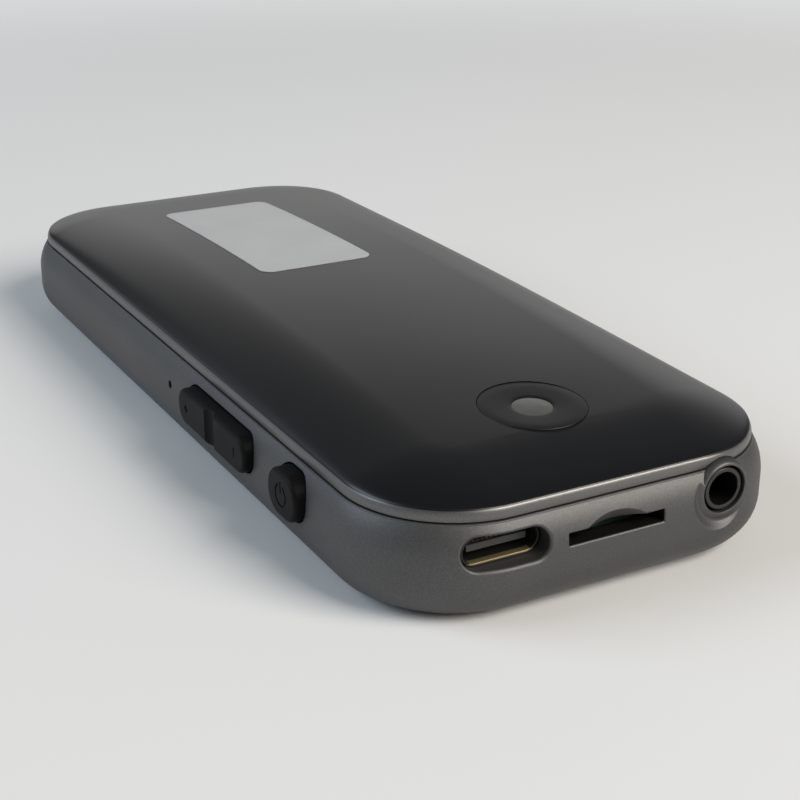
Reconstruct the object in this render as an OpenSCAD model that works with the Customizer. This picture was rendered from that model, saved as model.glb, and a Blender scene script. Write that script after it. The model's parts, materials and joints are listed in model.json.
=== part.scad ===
// Handheld translator: a pocket device that lies on its screen, back up.
// Millimetres.  z = 0 is the outer face of the front glass, +Z points out of the back,
// the ports open towards -Y and the side keys stand on -X.

/* [Body] */
// Width across the sides
body_w = 50; // [48:0.5:54]
// Length from the port end to the far end
body_l = 120; // [116:0.5:128]
// Radius of the body's corners, seen from the back
corner_r = 13.5; // [12.5:0.1:14.5]
// Radius of the rounding between the sides and the screen face
base_fillet_r = 4.5; // [4.2:0.1:4.6]
// Height at which the sides begin to turn in
side_top_z = 7; // [6.5:0.1:7.4]
// Height of the frame's top edge, where the back cover meets it
part_z = 10.8; // [10.8:0.1:11.4]
// How far the frame's top edge is turned in
part_inset = 1.3; // [1.1:0.05:1.5]
// Depth of the frame's side wall
wall = 2.4; // [2.2:0.05:2.6]
// Width of the ledge that carries the glass and the middle plate, measured from the wall
ledge_w = 3.5; // [3.2:0.1:4]

/* [Back cover] */
// Width of the parting line between frame and cover
part_gap = 0.2; // [0.15:0.01:0.25]
// Height of the cover's upright rim
rim_h = 1.1; // [0.9:0.05:1.3]
// Rise of the rounded band from the rim to the top at the two ends
dome_rise = 1.3; // [1.1:0.05:1.6]
// Extra height of the back halfway along its length
dome_bow = 2.7; // [2.2:0.1:3]
// Width of the rounded band along the cover's edge
dome_w = 10; // [8:0.5:10.5]
// Thickness of the cover
cover_wall = 1.4; // [1.2:0.05:1.6]
// Number of snap hooks on each long side
hook_count = 4; // [2:1:5]

/* [Front] */
// Distance of the glass's edge from the body's outline
glass_inset = 4.1; // [4:0.1:4.5]
// Thickness of the front glass
glass_t = 1; // [0.8:0.1:1.1]
// How far the glass stands proud of the frame
glass_proud = 0.15; // [0.1:0.05:0.3]
// Thickness of the glass's adhesive ring
adhesive_t = 0.2; // [0.1:0.05:0.3]
// Gap between the display panel and the frame's ledge
display_gap = 0.85; // [0.4:0.05:1.5]
// Length of the display panel
display_l = 67; // [60:1:80]
// Thickness of the display panel
display_t = 1.7; // [1.5:0.1:2]
// Distance of the display panel from the port end
display_from_end = 32.5; // [31:0.5:36]

/* [Ports] */
// Gap between the USB-C port's shell and the memory card's socket
usb_gap = 0.93; // [0.8:0.01:1.2]
// Height of the USB-C port's centre
usb_z = 7.95; // [7.8:0.05:8.1]
// Width of the USB-C port's opening in the frame
usb_open_w = 9.2; // [9.1:0.05:9.6]
// Height of the USB-C port's opening in the frame
usb_open_h = 3.35; // [3.3:0.05:3.6]
// Place of the memory card slot across the body
card_x = -0.2; // [-0.5:0.1:0.2]
// Height of the memory card slot's centre
card_z = 7.6; // [7.55:0.05:7.7]
// Width of the memory card slot
slot_w = 11.4; // [11.2:0.1:11.8]
// Height of the memory card slot
slot_h = 1.3; // [1.15:0.05:1.4]
// Width of the fingernail scoop over the slot
scoop_w = 6; // [5:0.2:8]
// Height of the fingernail scoop over the slot
scoop_h = 1.15; // [0.8:0.05:1.3]
// Gap between the memory card's socket and the audio jack's block
jack_gap = 3.3; // [3.1:0.05:3.5]
// Height of the audio jack's centre
jack_z = 8.5; // [8.4:0.05:8.6]
// Diameter of the audio jack's opening in the frame
jack_open_d = 5.15; // [4.9:0.05:5.2]
// Diameter of the audio jack's bore
jack_bore_d = 3.6; // [3.55:0.05:3.7]
// Depth of the audio jack's bore
jack_bore_l = 14; // [13.5:0.5:15]

/* [Side keys] */
// Height of the keys' centre line
key_z = 7.4; // [7.3:0.05:7.5]
// How far the keys stand out of the side
key_proud = 1.1; // [0.8:0.1:1.3]
// Clearance round each key in its opening
key_fit = 0.15; // [0.1:0.01:0.2]
// Travel of the power key
key_travel = 0.3; // [0.2:0.05:0.3]
// Distance of the power key's middle from the port end
power_from_end = 22.7; // [22.2:0.1:23.2]
// Length of the power key
power_l = 6.8; // [6.2:0.1:7.2]
// Height of the power key
power_h = 5.2; // [4.8:0.1:5.2]
// Distance of the volume rocker's middle from the port end
rocker_from_end = 41.75; // [41.3:0.05:42.2]
// Length of the volume rocker
rocker_l = 19.1; // [18.5:0.1:20]
// Height of the volume rocker
rocker_h = 4.4; // [4:0.1:4.5]
// Distance from the rocker's centre to each of its two switches
rocker_reach = 6.5; // [6:0.1:7]
// Diameter of the microphone's hole in the side
mic_hole_d = 1; // [0.8:0.05:1.2]
// Distance of the microphone's hole from the port end
mic_from_end = 56.6; // [56:0.1:57]

/* [Camera] */
// Distance of the camera from the port end
camera_from_end = 16.2; // [15.6:0.1:17]
// Diameter of the ring round the camera window
camera_ring_d = 11.6; // [11:0.1:12]
// Diameter of the camera window that shows
window_d = 4.35; // [4:0.05:4.6]

/* [Label] */
// Place of the label across the body
label_x = -0.4; // [-2:0.1:2]
// Distance of the label's middle from the far end
label_from_end = 36.2; // [34:0.1:38]
// Width of the label
label_w = 15.7; // [12:0.1:18]
// Length of the label
label_l = 35.7; // [26:0.1:38]

/* [Inside] */
// Thickness of the middle plate
plate_t = 0.6; // [0.5:0.05:0.8]
// Thickness of the main board
board_t = 1; // [0.8:0.1:1.1]
// Length of the main board
board_l = 56; // [55:0.5:60]
// Gap between the battery and the side walls
battery_side_gap = 3.6; // [3.4:0.1:6]
// Gap between the battery and the board or the loudspeaker
battery_end_gap = 1.5; // [1.2:0.1:4]
// Gap between the battery's top edges and the cover
battery_head_gap = 0.4; // [0.3:0.05:1.5]
// Gap between the loudspeaker and the side walls
speaker_side_gap = 7.6; // [7.6:0.2:10]
// Height of the loudspeaker module
speaker_h = 6; // [5:0.2:7]
// Number of sound holes in the far end
speaker_holes = 7; // [3:1:9]

/* [Hidden] */
$fn = 64;

// Heights, from the glass to the back
ledge_z = glass_t + adhesive_t;
foam_t = 0.3;
plate_z = glass_t + display_t + foam_t;
plate_top = plate_z + plate_t;
side_z = glass_proud + base_fillet_r;
shoulder_h = part_z - side_top_z;
shoulder_r = (pow(shoulder_h, 2) + pow(part_inset, 2)) / (2 * part_inset);
function shoulder_inset(z) = shoulder_r - sqrt(pow(shoulder_r, 2) - pow(z - side_top_z, 2));
rim_z = part_z + part_gap;
lip_z = rim_z + rim_h;
rim_inset = part_inset + 0.05;
lip_inset = rim_inset + 0.15;
band_w = min(dome_w, corner_r - lip_inset - 0.5);
bow_r = pow(body_l, 2) / (8 * dome_bow);

// Places in plan
end_y = body_l / 2;
side_x = body_w / 2;
wall_in_x = side_x - wall;
wall_in_y = end_y - wall;
ledge_inset = wall + ledge_w;
slip = 0.1;
power_y = power_from_end - end_y;
rocker_y = rocker_from_end - end_y;
mic_y = mic_from_end - end_y;
camera_y = camera_from_end - end_y;
label_y = end_y - label_from_end;
display_w = body_w - 2 * (ledge_inset + display_gap);
display_y0 = display_from_end - end_y;
display_y = display_y0 + display_l / 2;

// Cover: the tongue that drops inside the frame, and the hooks
tongue_t = 0.9;
tongue_drop = 0.7;
tongue_inset = wall + slip;
inner_inset = tongue_inset + tongue_t;
hook_l = 5;
hook_t = 0.8;
hook_drop = 1.3;
hook_catch = 0.3;
hook_margin = 6.5;
hook_span = body_l - 2 * (corner_r + hook_margin);

// Ports
usb_shell_w = 8.94;
usb_shell_h = 3.16;
usb_wall = 0.3;
usb_shell_l = 7.35;
usb_sunk = 1.9;
usb_back_l = 2;
tongue_w = 6.7;
tongue_h = 0.7;
tongue_sunk = 0.8;
contact_rows = 12;
contact_pitch = 0.5;
board_top = usb_z - usb_shell_h / 2;
board_z = board_top - board_t;
jack_boss_r = jack_open_d / 2 + 0.45;
jack_notch_r = jack_boss_r + part_gap;
jack_dish_r = 4.1;
jack_dish_floor_r = 3.4;
jack_dish_depth = 0.5;
jack_barrel_r = 2.3;
jack_sunk = 0.7;
jack_body_w = 6.4;
jack_body_h = 5.2;
jack_body_y = -wall_in_y + 0.3;
jack_back_t = 0.8;
jack_room = 0.15;
jack_pin_w = 1;
jack_pin_t = 0.3;
jack_pin_h = 2;
jack_pin_reach = 1.2;
jack_pin_y0 = 4;
jack_pin_pitch = 3.5;
jack_pin_foot_t = 0.15;
card_w = 14;
usb_x = card_x - card_w / 2 - usb_gap - usb_shell_w / 2;
jack_x = card_x + card_w / 2 + jack_gap + jack_body_w / 2;
card_l = 14.8;
card_base_t = 0.6;
card_rail_w = 1.3;
card_top = board_top + 1.65;
card_sheet_t = 0.25;
card_y = -wall_in_y + 1.3;
card_pitch = 1.1;
card_pad_w = 0.6;
card_pad_y0 = 4;
card_pad_l = 8;
card_pad_t = 0.1;

// Side keys
key_r = 2.5;
key_edge_r = 0.5;
face_x = -side_x - key_proud;
flange_gap = 0.1;
flange_t = 0.6;
flange_x = -wall_in_x + flange_gap;
key_back_x = flange_x + flange_t;
bracket_t = 0.3;
bracket_x = key_back_x + key_travel + 0.2;
bracket_foot_w = 3.4;
stem_r = 0.8;
stem_end_x = bracket_x + bracket_t + 0.15;
switch_x = stem_end_x + 0.55;
switch_l = 2.5;
switch_w = 3.6;
switch_h = 1.85;
plunger_r = 0.5;
plunger_play = 0.05;
plunger_l = 1.3;
plunger_fit = 0.08;
notch_x = switch_x - 0.2;
bracket_y0 = power_y - power_l / 2 - 1.6;
bracket_y1 = rocker_y + rocker_l / 2 + 0.3;
rib_gap = 0.03;
mark_depth = 0.12;

// Camera
camera_tilt = 0.5 * atan(8 * dome_bow * -camera_y / pow(body_l, 2));
camera_top = dome_top(camera_y);
camera_ring_t = 0.9;
camera_fit = 0.1;
window_step = 0.55;
camera_dish = 0.3;
window_sunk = camera_dish + 0.12;
window_t = 0.6;
camera_ledge = 1;
camera_block = 8.5;
camera_block_h = 2.9;
camera_foam_z = card_top + card_sheet_t;
camera_foam_t = 0.8;
camera_barrel_r = 3.1;
camera_barrel_h = 1.1;

// Board, screws and inner modules
board_inset = wall + 0.6;
board_x1 = side_x - board_inset;
board_y0 = board_inset - end_y;
board_end_y = board_y0 + board_l;
standoff_r = 1.7;
screw_r = 0.55;
screw_head_r = 1.2;
screw_head_h = 0.6;
port_screw_edge = 1.8;
port_screw_from_end = 12.45;
far_screw_edge = 5.5;
far_screw_from_end = 2.8;
plate_screw_inset = 4.15;
plate_screw_run = 2;
radio_edge = 2;
radio_w = 11;
radio_l = 22;
radio_h = 1.6;
radio_from_end = 22;
processor_l = 19;
processor_h = 1.8;
processor_from_end = 29;
shield_gap = 2;
key_side_gap = 4.9;
shield_t = 0.2;
chip_margin = 3.5;
chip_gap = 0.5;
chip_w = 4.5;
chip_l = 4;
chip_h = 0.8;
chip_pitch = 9.5;
chip_from_end = 4.5;
plug_w = 9;
battery_plug_w = 6;
plug_l = 2.5;
plug_h = 1;
plug_edge = 0.4;
low_plug_h = 0.6;
flex_t = 0.15;
flex_w = 12;
flex_bend = 3;
mic_w = 3;
mic_l = 2.2;
mic_h = 1.5;
boot_w = 2.6;
boot_h = 1.9;
boot_l = 2;
tape_t = 0.2;
tape_margin = 2;
speaker_w = 2 * (wall_in_x - speaker_side_gap);
speaker_l = 10.5;
speaker_back = 1.1;
speaker_mouth_h = 2.4;
speaker_mouth_depth = 4;
speaker_pitch = 2.2;
speaker_hole_d = 1.2;
speaker_mouth_w = (speaker_holes - 1) * speaker_pitch + speaker_hole_d + 2.6;
speaker_z = plate_top + speaker_h / 2;
speaker_y1 = wall_in_y - speaker_back;
speaker_y0 = speaker_y1 - speaker_l;
mesh_t = 0.3;
gasket_w = 0.9;
battery_z = plate_top + tape_t;
battery_w = 2 * (wall_in_x - battery_side_gap);
battery_y0 = board_end_y + battery_end_gap;
battery_y1 = speaker_y0 - battery_end_gap;
battery_l = battery_y1 - battery_y0;
battery_y = (battery_y0 + battery_y1) / 2;
battery_t = ceiling(side_x - battery_w / 2, battery_y1) - battery_head_gap - battery_z;
pad_w = 18;
pad_l = 16;

// Height of the back along the middle of the body
function dome_top(y) = lip_z + dome_rise + dome_bow * (1 - pow(2 * y / body_l, 2));

// Fullness of the rounded band: 0 at the lip, 1 where the band runs into the back
function fullness(u) = pow(1 - pow(1 - u, 1.6), 1 / 1.6);

// Height of the cover's inner face at a distance inset from the outline
function ceiling(inset, y) = lip_z - cover_wall
    + fullness(min(1, (inset - inner_inset) / (lip_inset + band_w - inner_inset)))
    * (dome_rise + dome_bow * (1 - pow(2 * y / body_l, 2)));

// Corner centres are the same for every inset, so all the rings are parallel
function corner_centre(q) = [
    (q == 0 || q == 3 ? 1 : -1) * (side_x - corner_r),
    (q < 2 ? 1 : -1) * (end_y - corner_r)
];

// The outline drawn in by inset, counter-clockwise, with the long sides cut into side_n runs
function outline_points(inset, arc_n, side_n) = [
    for (q = [0:3]) each concat(
        [for (k = [0:arc_n]) corner_centre(q) + (corner_r - inset) * [
            cos(90 * (q + k / arc_n)), sin(90 * (q + k / arc_n))]],
        q % 2 == 0 ? [] : [for (k = [1:1:side_n - 1])
            [(q == 1 ? -1 : 1) * (side_x - inset),
             (q == 1 ? 1 : -1) * (end_y - corner_r) * (1 - 2 * k / side_n)]]
    )
];

// A closed pillow: an upright rim, a lip, and a rounded band that runs into a bowed top
module pillow(foot_z, foot_inset, edge_z, edge_inset, arc_n, side_n, band_n) {
    reach = lip_inset + band_w - edge_inset;
    foot = [for (p = outline_points(foot_inset, arc_n, side_n)) [p[0], p[1], foot_z]];
    band = [for (k = [0:band_n]) let (u = pow(k / band_n, 1.6))
        [for (p = outline_points(edge_inset + reach * u, arc_n, side_n)) [
            p[0], p[1],
            edge_z + fullness(u) * (dome_rise + dome_bow * (1 - pow(2 * p[1] / body_l, 2)))]]];
    rings = concat([foot], band);
    n = len(foot);
    last = len(rings) - 1;
    half = n / 2 - 1;
    sides = [for (k = [0:last - 1], i = [0:n - 1]) let (j = (i + 1) % n) each [
        [k * n + i, (k + 1) * n + i, (k + 1) * n + j],
        [k * n + i, (k + 1) * n + j, k * n + j]]];
    strips = [for (j = [0:half - 1]) [
        arc_n + 1 + j, (arc_n - j + n) % n, (arc_n - j - 1 + n) % n, arc_n + 2 + j]];
    top = [for (s = strips) let (c = last * n) each [
        [c + s[0], c + s[1], c + s[2]],
        [c + s[0], c + s[2], c + s[3]]]];
    bottom = [for (s = strips) each [[s[2], s[1], s[0]], [s[3], s[2], s[0]]]];
    polyhedron([for (r = rings) each r], concat(bottom, sides, top));
}

// Carries a cross-section round an oblong.  In the cross-section x = 0 is the outline,
// negative x is inwards and y is up.
module carry_round(w, l, r) {
    for (i = [0:3]) {
        reach = i % 2 == 0 ? w / 2 : l / 2;
        run = i % 2 == 0 ? l / 2 - r : w / 2 - r;
        rotate(90 * i) {
            translate([reach, run, 0]) rotate([90, 0, 0]) linear_extrude(2 * run) children();
            translate([reach - r, run, 0]) rotate_extrude(angle = 90) translate([r, 0]) children();
        }
    }
}

// Flat oblong with rounded corners
module oblong(w, l, r) {
    square([w - 2 * r, l], center = true);
    square([w, l - 2 * r], center = true);
    for (x = [-1, 1], y = [-1, 1]) translate([x * (w / 2 - r), y * (l / 2 - r)]) circle(r);
}

// Plate with rounded corners, from z0 to z1
module plate(w, l, r, z0, z1) {
    translate([0, 0, z0]) linear_extrude(z1 - z0) oblong(w, l, r);
}

// Plate that follows the body's outline, drawn in by inset
module body_plate(inset, z0, z1) {
    plate(body_w - 2 * inset, body_l - 2 * inset, corner_r - inset, z0, z1);
}

// Pad with rounded corners and a rounded upper edge, standing on z = 0
module soft_pad(w, l, r, h, edge) {
    depth = 0.75 * r;
    carry_round(w, l, r) {
        translate([-depth, 0]) square([depth - edge, h]);
        translate([-edge, 0]) square([edge, h - edge]);
        translate([-edge, h - edge]) intersection() {
            circle(edge);
            square(edge);
        }
    }
    plate(w - r, l - r, r / 2, 0, h);
}

// Box given by its two corners
module block(low, high) {
    translate(low) cube(high - low);
}

// Cylinder along X from x0 to x1
module bar_x(x0, x1, y, z, r) {
    translate([x0, y, z]) rotate([0, 90, 0]) cylinder(r = r, h = x1 - x0);
}

// Cylinder along Y from y0 to y1
module bar_y(x, y0, y1, z, r) {
    translate([x, y0, z]) rotate([-90, 0, 0]) cylinder(r = r, h = y1 - y0);
}

// Oblong prism along Y from y0 to y1, centred on x and z
module slot_y(x, z, w, h, y0, y1) {
    translate([x, y1, z]) rotate([90, 0, 0]) linear_extrude(y1 - y0) oblong(w, h, h / 2 - 0.001);
}

// Key-shaped prism along X: turned so that the pad's z runs outwards, towards -X
module on_side(x, y, z) {
    translate([x, y, z]) rotate([0, -90, 0]) children();
}

// Places on the screwed plate and board
module at_plate_screws() {
    turn = (corner_r - plate_screw_inset) / sqrt(2);
    for (s = [-1, 1]) {
        translate([s * (side_x - plate_screw_inset), corner_r + plate_screw_run - end_y, 0]) children();
        translate([s * (side_x - corner_r + turn), end_y - corner_r + turn, 0]) children();
    }
}

module at_board_screws() {
    for (s = [-1, 1]) {
        translate([s * (board_x1 - port_screw_edge), port_screw_from_end - end_y, 0]) children();
        translate([s * (board_x1 - far_screw_edge), board_end_y - far_screw_from_end, 0]) children();
    }
}

module at_camera() {
    translate([0, camera_y, camera_top]) rotate([camera_tilt, 0, 0]) children();
}

// Hooks sit evenly along both long sides, except where the keys are
module at_hooks() {
    for (k = [0:hook_count - 1]) {
        y = (k / (hook_count - 1) - 0.5) * hook_span;
        translate([wall_in_x, y, 0]) children();
        if (y - hook_l / 2 > mic_y) translate([-wall_in_x, y, 0]) mirror([1, 0, 0]) children();
    }
}

// Cross-section of the side frame: rounded foot, upright side, turned-in shoulder, inner ledge
module frame_section() {
    difference() {
        union() {
            intersection() {
                translate([-base_fillet_r, side_z]) circle(base_fillet_r);
                translate([-base_fillet_r, glass_proud]) square(base_fillet_r);
            }
            translate([-ledge_inset, glass_proud]) square([ledge_inset - base_fillet_r, side_z - glass_proud]);
            translate([-ledge_inset, side_z]) square([ledge_inset, side_top_z - side_z]);
            intersection() {
                translate([-shoulder_r, side_top_z]) circle(shoulder_r, $fn = 256);
                translate([-wall, side_top_z]) square([wall, shoulder_h]);
            }
        }
        translate([-ledge_inset, plate_z]) square([ledge_w, part_z]);
        translate([-ledge_inset, 0]) square([ledge_inset - glass_inset + slip, ledge_z]);
    }
}

module key_opening(y, l, h) {
    on_side(-wall_in_x + 1, y, key_z)
        linear_extrude(wall + 3) oblong(h + 2 * key_fit, l + 2 * key_fit, min(key_r, h / 2 - 0.1) + key_fit);
}

module speaker_row(r, y0, y1) {
    for (k = [0:speaker_holes - 1])
        bar_y((k - (speaker_holes - 1) / 2) * speaker_pitch, y0, y1, speaker_z, r);
}

// Fingernail scoop: a slanted round cut that runs down into the card slot
module scoop() {
    slant = 60;
    rise = scoop_h * cos(slant);
    r = (pow(scoop_w / 2, 2) + pow(rise, 2)) / (2 * rise);
    top = card_z + slot_h / 2 + scoop_h;
    translate([card_x, -end_y + shoulder_inset(top), top]) rotate([-slant, 0, 0])
        translate([0, 0, -r]) rotate([90, 0, 0]) cylinder(r = r, h = 6, center = true);
}

module frame_shell() color("#8b9097") {
    difference() {
        union() {
            difference() {
                carry_round(body_w, body_l, corner_r) frame_section();
                // dish round the audio jack
                translate([jack_x, -end_y - 0.001, jack_z]) rotate([-90, 0, 0])
                    cylinder(r1 = jack_dish_r, r2 = jack_dish_floor_r, h = jack_dish_depth);
            }
            bar_y(jack_x, -end_y + jack_dish_depth, -wall_in_y, jack_z, jack_boss_r);
        }
        bar_y(jack_x, -end_y - 1, -wall_in_y + 3, jack_z, jack_open_d / 2);
        // room for the jack's block where the inner corner turns
        block([jack_x - jack_body_w / 2 - jack_room, jack_body_y - jack_room, plate_z],
              [jack_x + jack_body_w / 2 + jack_room, jack_back_y(), part_z + 1]);
        slot_y(usb_x, usb_z, usb_open_w, usb_open_h, -end_y - 1, -wall_in_y + 3);
        block([card_x - slot_w / 2, -end_y - 1, card_z - slot_h / 2],
              [card_x + slot_w / 2, -wall_in_y + 1, card_z + slot_h / 2]);
        intersection() {
            scoop();
            block([card_x - slot_w / 2, -end_y - 1, card_z],
                  [card_x + slot_w / 2, -wall_in_y - 0.4, part_z]);
        }
        key_opening(power_y, power_l, power_h);
        key_opening(rocker_y, rocker_l, rocker_h);
        bar_x(-side_x - 1, -wall_in_x + 1, mic_y, key_z, mic_hole_d / 2);
        speaker_row(speaker_hole_d / 2, wall_in_y - 1, end_y + 1);
        at_plate_screws() translate([0, 0, ledge_z + 0.3]) cylinder(r = screw_r + 0.05, h = 4);
        at_hooks() block([-0.1, -hook_l / 2 - 0.3, part_z - tongue_drop - hook_drop - 0.2],
                         [hook_catch + 0.15, hook_l / 2 + 0.3, part_z - tongue_drop - hook_drop + 1]);
    }
}

module back_cover() color("#24272c") {
    difference() {
        union() {
            difference() {
                union() {
                    pillow(rim_z, rim_inset, lip_z, lip_inset, 12, 12, 8);
                    body_plate(tongue_inset, part_z - tongue_drop, rim_z + 0.3);
                }
                pillow(part_z - tongue_drop - 0.1, inner_inset, lip_z - cover_wall, inner_inset, 6, 6, 4);
            }
            // boss that holds the camera
            at_camera() translate([0, 0, -4.2]) cylinder(r = camera_ring_d / 2 + 1.6, h = 3.6);
            at_hooks() hook();
        }
        at_camera() {
            translate([0, 0, -camera_ring_t]) cylinder(r = camera_ring_d / 2 + camera_fit, h = 3);
            translate([0, 0, -3]) cylinder(r = camera_ring_d / 2 - camera_ledge, h = 4);
            translate([0, 0, -6]) cylinder(r = camera_block * 0.707 + 0.2, h = 4.1);
        }
        bar_y(jack_x, -end_y - 1, -wall_in_y, jack_z, jack_notch_r);
        block([jack_x - jack_body_w / 2 - 0.3, -wall_in_y - 0.01, part_z - 2],
              [jack_x + jack_body_w / 2 + 0.3, jack_back_y(), jack_z + jack_body_h / 2 + 0.3]);
    }
}

// Springy hook: a leg on the tongue's inner face and a catch that points outwards
module hook() {
    foot_z = part_z - tongue_drop - hook_drop;
    block([-slip - tongue_t, -hook_l / 2, foot_z],
          [-slip - tongue_t + hook_t, hook_l / 2, part_z - tongue_drop + 0.5]);
    block([-slip - tongue_t, -hook_l / 2, foot_z], [hook_catch - 0.05, hook_l / 2, foot_z + 0.6]);
}

module front_glass() color("#0c0d10") {
    w = body_w - 2 * glass_inset;
    l = body_l - 2 * glass_inset;
    translate([0, 0, glass_t]) mirror([0, 0, 1])
        soft_pad(w, l, corner_r - glass_inset, glass_t, 0.5);
}

module glass_adhesive() color("#1a1a1a") {
    difference() {
        body_plate(glass_inset + 0.3, glass_t, ledge_z);
        body_plate(ledge_inset - 0.1, glass_t - 1, ledge_z + 1);
    }
}

module display_panel() color("#15181d") {
    translate([0, display_y, 0]) plate(display_w, display_l, 1, glass_t, glass_t + display_t);
}

module display_foam() color("#3a3a3a") {
    translate([0, display_y, 0]) plate(display_w - 1, display_l - 1, 0.6, plate_z - foam_t, plate_z);
}

// Ribbon that leaves the panel's edge, climbs through the plate's slot and lies on its plug
module display_flex() color("#b5651d") {
    y = display_y0;
    z = ledge_z + 0.9;
    top = board_z - low_plug_h;
    block([-flex_w / 2, y - flex_bend, z], [flex_w / 2, y, z + flex_t]);
    block([-flex_w / 2, y - flex_bend, z], [flex_w / 2, y - flex_bend + flex_t, top]);
    block([-flex_w / 2, y - flex_bend, top - flex_t], [flex_w / 2, y + plug_l - 0.5, top]);
}

module middle_plate() color("#a9adb2") {
    difference() {
        union() {
            body_plate(wall + 0.2, plate_z, plate_top);
            at_board_screws() translate([0, 0, plate_z]) cylinder(r = standoff_r, h = board_z - plate_z);
        }
        block([-flex_w / 2 - 0.6, display_y0 - flex_bend - 0.8, plate_z - 1],
              [flex_w / 2 + 0.6, display_y0 - flex_bend + 1, plate_top + 1]);
        at_plate_screws() translate([0, 0, plate_z - 1]) cylinder(r = screw_r + 0.15, h = 4);
        at_board_screws() translate([0, 0, plate_z - 1]) cylinder(r = screw_r + 0.05, h = 6);
    }
}

// Pan-head screw: the underside of the head is at z = 0
module screw(shank_l) {
    difference() {
        union() {
            cylinder(r = screw_head_r, h = screw_head_h);
            translate([0, 0, -shank_l]) cylinder(r = screw_r, h = shank_l);
        }
        translate([0, 0, screw_head_h - 0.3]) for (a = [0, 90])
            rotate(a) translate([-0.7, -0.15, 0]) cube([1.4, 0.3, 1]);
    }
}

module plate_screws() color("#6d7075") {
    at_plate_screws() translate([0, 0, plate_top]) screw(plate_top - ledge_z - 0.5);
}

module main_board() color("#1f5a3c") {
    notch_y0 = power_y - power_l / 2 - 1.9;
    notch_y1 = rocker_y + rocker_l / 2 + 0.9;
    difference() {
        intersection() {
            body_plate(board_inset, board_z, board_top);
            block([-side_x, -end_y, board_z], [side_x, board_end_y, board_top]);
        }
        block([-side_x, notch_y0, board_z - 1], [notch_x, notch_y1, board_top + 1]);
        block([jack_x - jack_body_w / 2 - jack_room, -end_y, board_z - 1],
              [jack_x + jack_body_w / 2 + jack_room, jack_back_y() + jack_room, board_top + 1]);
        at_board_screws() translate([0, 0, board_z - 1]) cylinder(r = screw_r + 0.15, h = 3);
    }
}

module board_screws() color("#6d7075") {
    at_board_screws() translate([0, 0, board_top]) screw(board_t + 1.5);
}

// Pressed lid over chips: closed top, open towards the board
module shield_can(x0, x1, y, l, h) {
    t = shield_t;
    difference() {
        block([x0, y, board_top], [x1, y + l, board_top + h]);
        block([x0 + t, y + t, board_top - 1], [x1 - t, y + l - t, board_top + h - t]);
    }
}

radio_x1 = board_x1 - radio_edge;
radio_x0 = radio_x1 - radio_w;
radio_y = radio_from_end - end_y;
processor_x0 = switch_x + switch_l + key_side_gap;
processor_x1 = radio_x0 - shield_gap;
processor_y = processor_from_end - end_y;

module processor_shield() color("#c3c6c9") {
    shield_can(processor_x0, processor_x1, processor_y, processor_l, processor_h);
}

module radio_shield() color("#c3c6c9") {
    shield_can(radio_x0, radio_x1, radio_y, radio_l, radio_h);
}

module board_chips() color("#17181a") {
    m = chip_margin;
    block([processor_x0 + m, processor_y + m, board_top],
          [processor_x1 - m, processor_y + processor_l - m, board_top + processor_h - chip_gap]);
    block([radio_x0 + m, radio_y + m, board_top],
          [radio_x1 - m, radio_y + radio_l - m, board_top + radio_h - chip_gap]);
    block([radio_x0 + m, radio_y - chip_l - chip_gap, board_top],
          [radio_x0 + m + chip_w, radio_y - chip_gap, board_top + chip_h]);
    for (k = [0:2]) {
        x = processor_x0 + chip_gap + k * chip_pitch;
        block([x, board_end_y - chip_from_end - chip_l, board_top],
              [x + chip_w, board_end_y - chip_from_end, board_top + chip_h]);
    }
}

camera_plug_y = camera_y + camera_block / 2 + flex_bend;

// Plugs of the camera, the battery, the display and the loudspeaker
module board_connectors() color("#202225") {
    block([-plug_w / 2, camera_plug_y, board_top], [plug_w / 2, camera_plug_y + plug_l, board_top + plug_h]);
    block([-battery_plug_w / 2, board_end_y - plug_edge - plug_l, board_top],
          [battery_plug_w / 2, board_end_y - plug_edge, board_top + plug_h]);
    block([-flex_w / 2, display_y0 - 0.5, board_z - low_plug_h], [flex_w / 2, display_y0 + plug_l - 0.5, board_z]);
    block([speaker_flex_x - speaker_flex_w, board_end_y - plug_edge - flex_bend, plate_top + flex_t],
          [speaker_flex_x, board_end_y - plug_edge, board_z]);
}

// USB-C receptacle: steel shell, moulded tongue and its contacts
module usb_shell() color("#b9bcc0") {
    y0 = -end_y + usb_sunk;
    difference() {
        slot_y(usb_x, usb_z, usb_shell_w, usb_shell_h, y0, y0 + usb_shell_l);
        slot_y(usb_x, usb_z, usb_shell_w - 2 * usb_wall, usb_shell_h - 2 * usb_wall,
               y0 - 1, y0 + usb_shell_l + 1);
    }
}

module usb_tongue() color("#1b1c1e") {
    y0 = -end_y + usb_sunk;
    slot_y(usb_x, usb_z, usb_shell_w - 2 * usb_wall, usb_shell_h - 2 * usb_wall,
           y0 + usb_shell_l - usb_back_l, y0 + usb_shell_l);
    block([usb_x - tongue_w / 2, y0 + tongue_sunk, usb_z - tongue_h / 2],
          [usb_x + tongue_w / 2, y0 + usb_shell_l - usb_back_l, usb_z + tongue_h / 2]);
}

module usb_contacts() color("#d4af5a") {
    y0 = -end_y + usb_sunk + tongue_sunk;
    for (k = [0:contact_rows - 1], s = [0, 1]) {
        x = usb_x + (k - (contact_rows - 1) / 2) * contact_pitch;
        z = usb_z + (s == 0 ? -tongue_h / 2 - 0.06 : tongue_h / 2);
        block([x - 0.13, y0 + 0.5, z], [x + 0.13, y0 + 4.2, z + 0.06]);
    }
}

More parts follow.
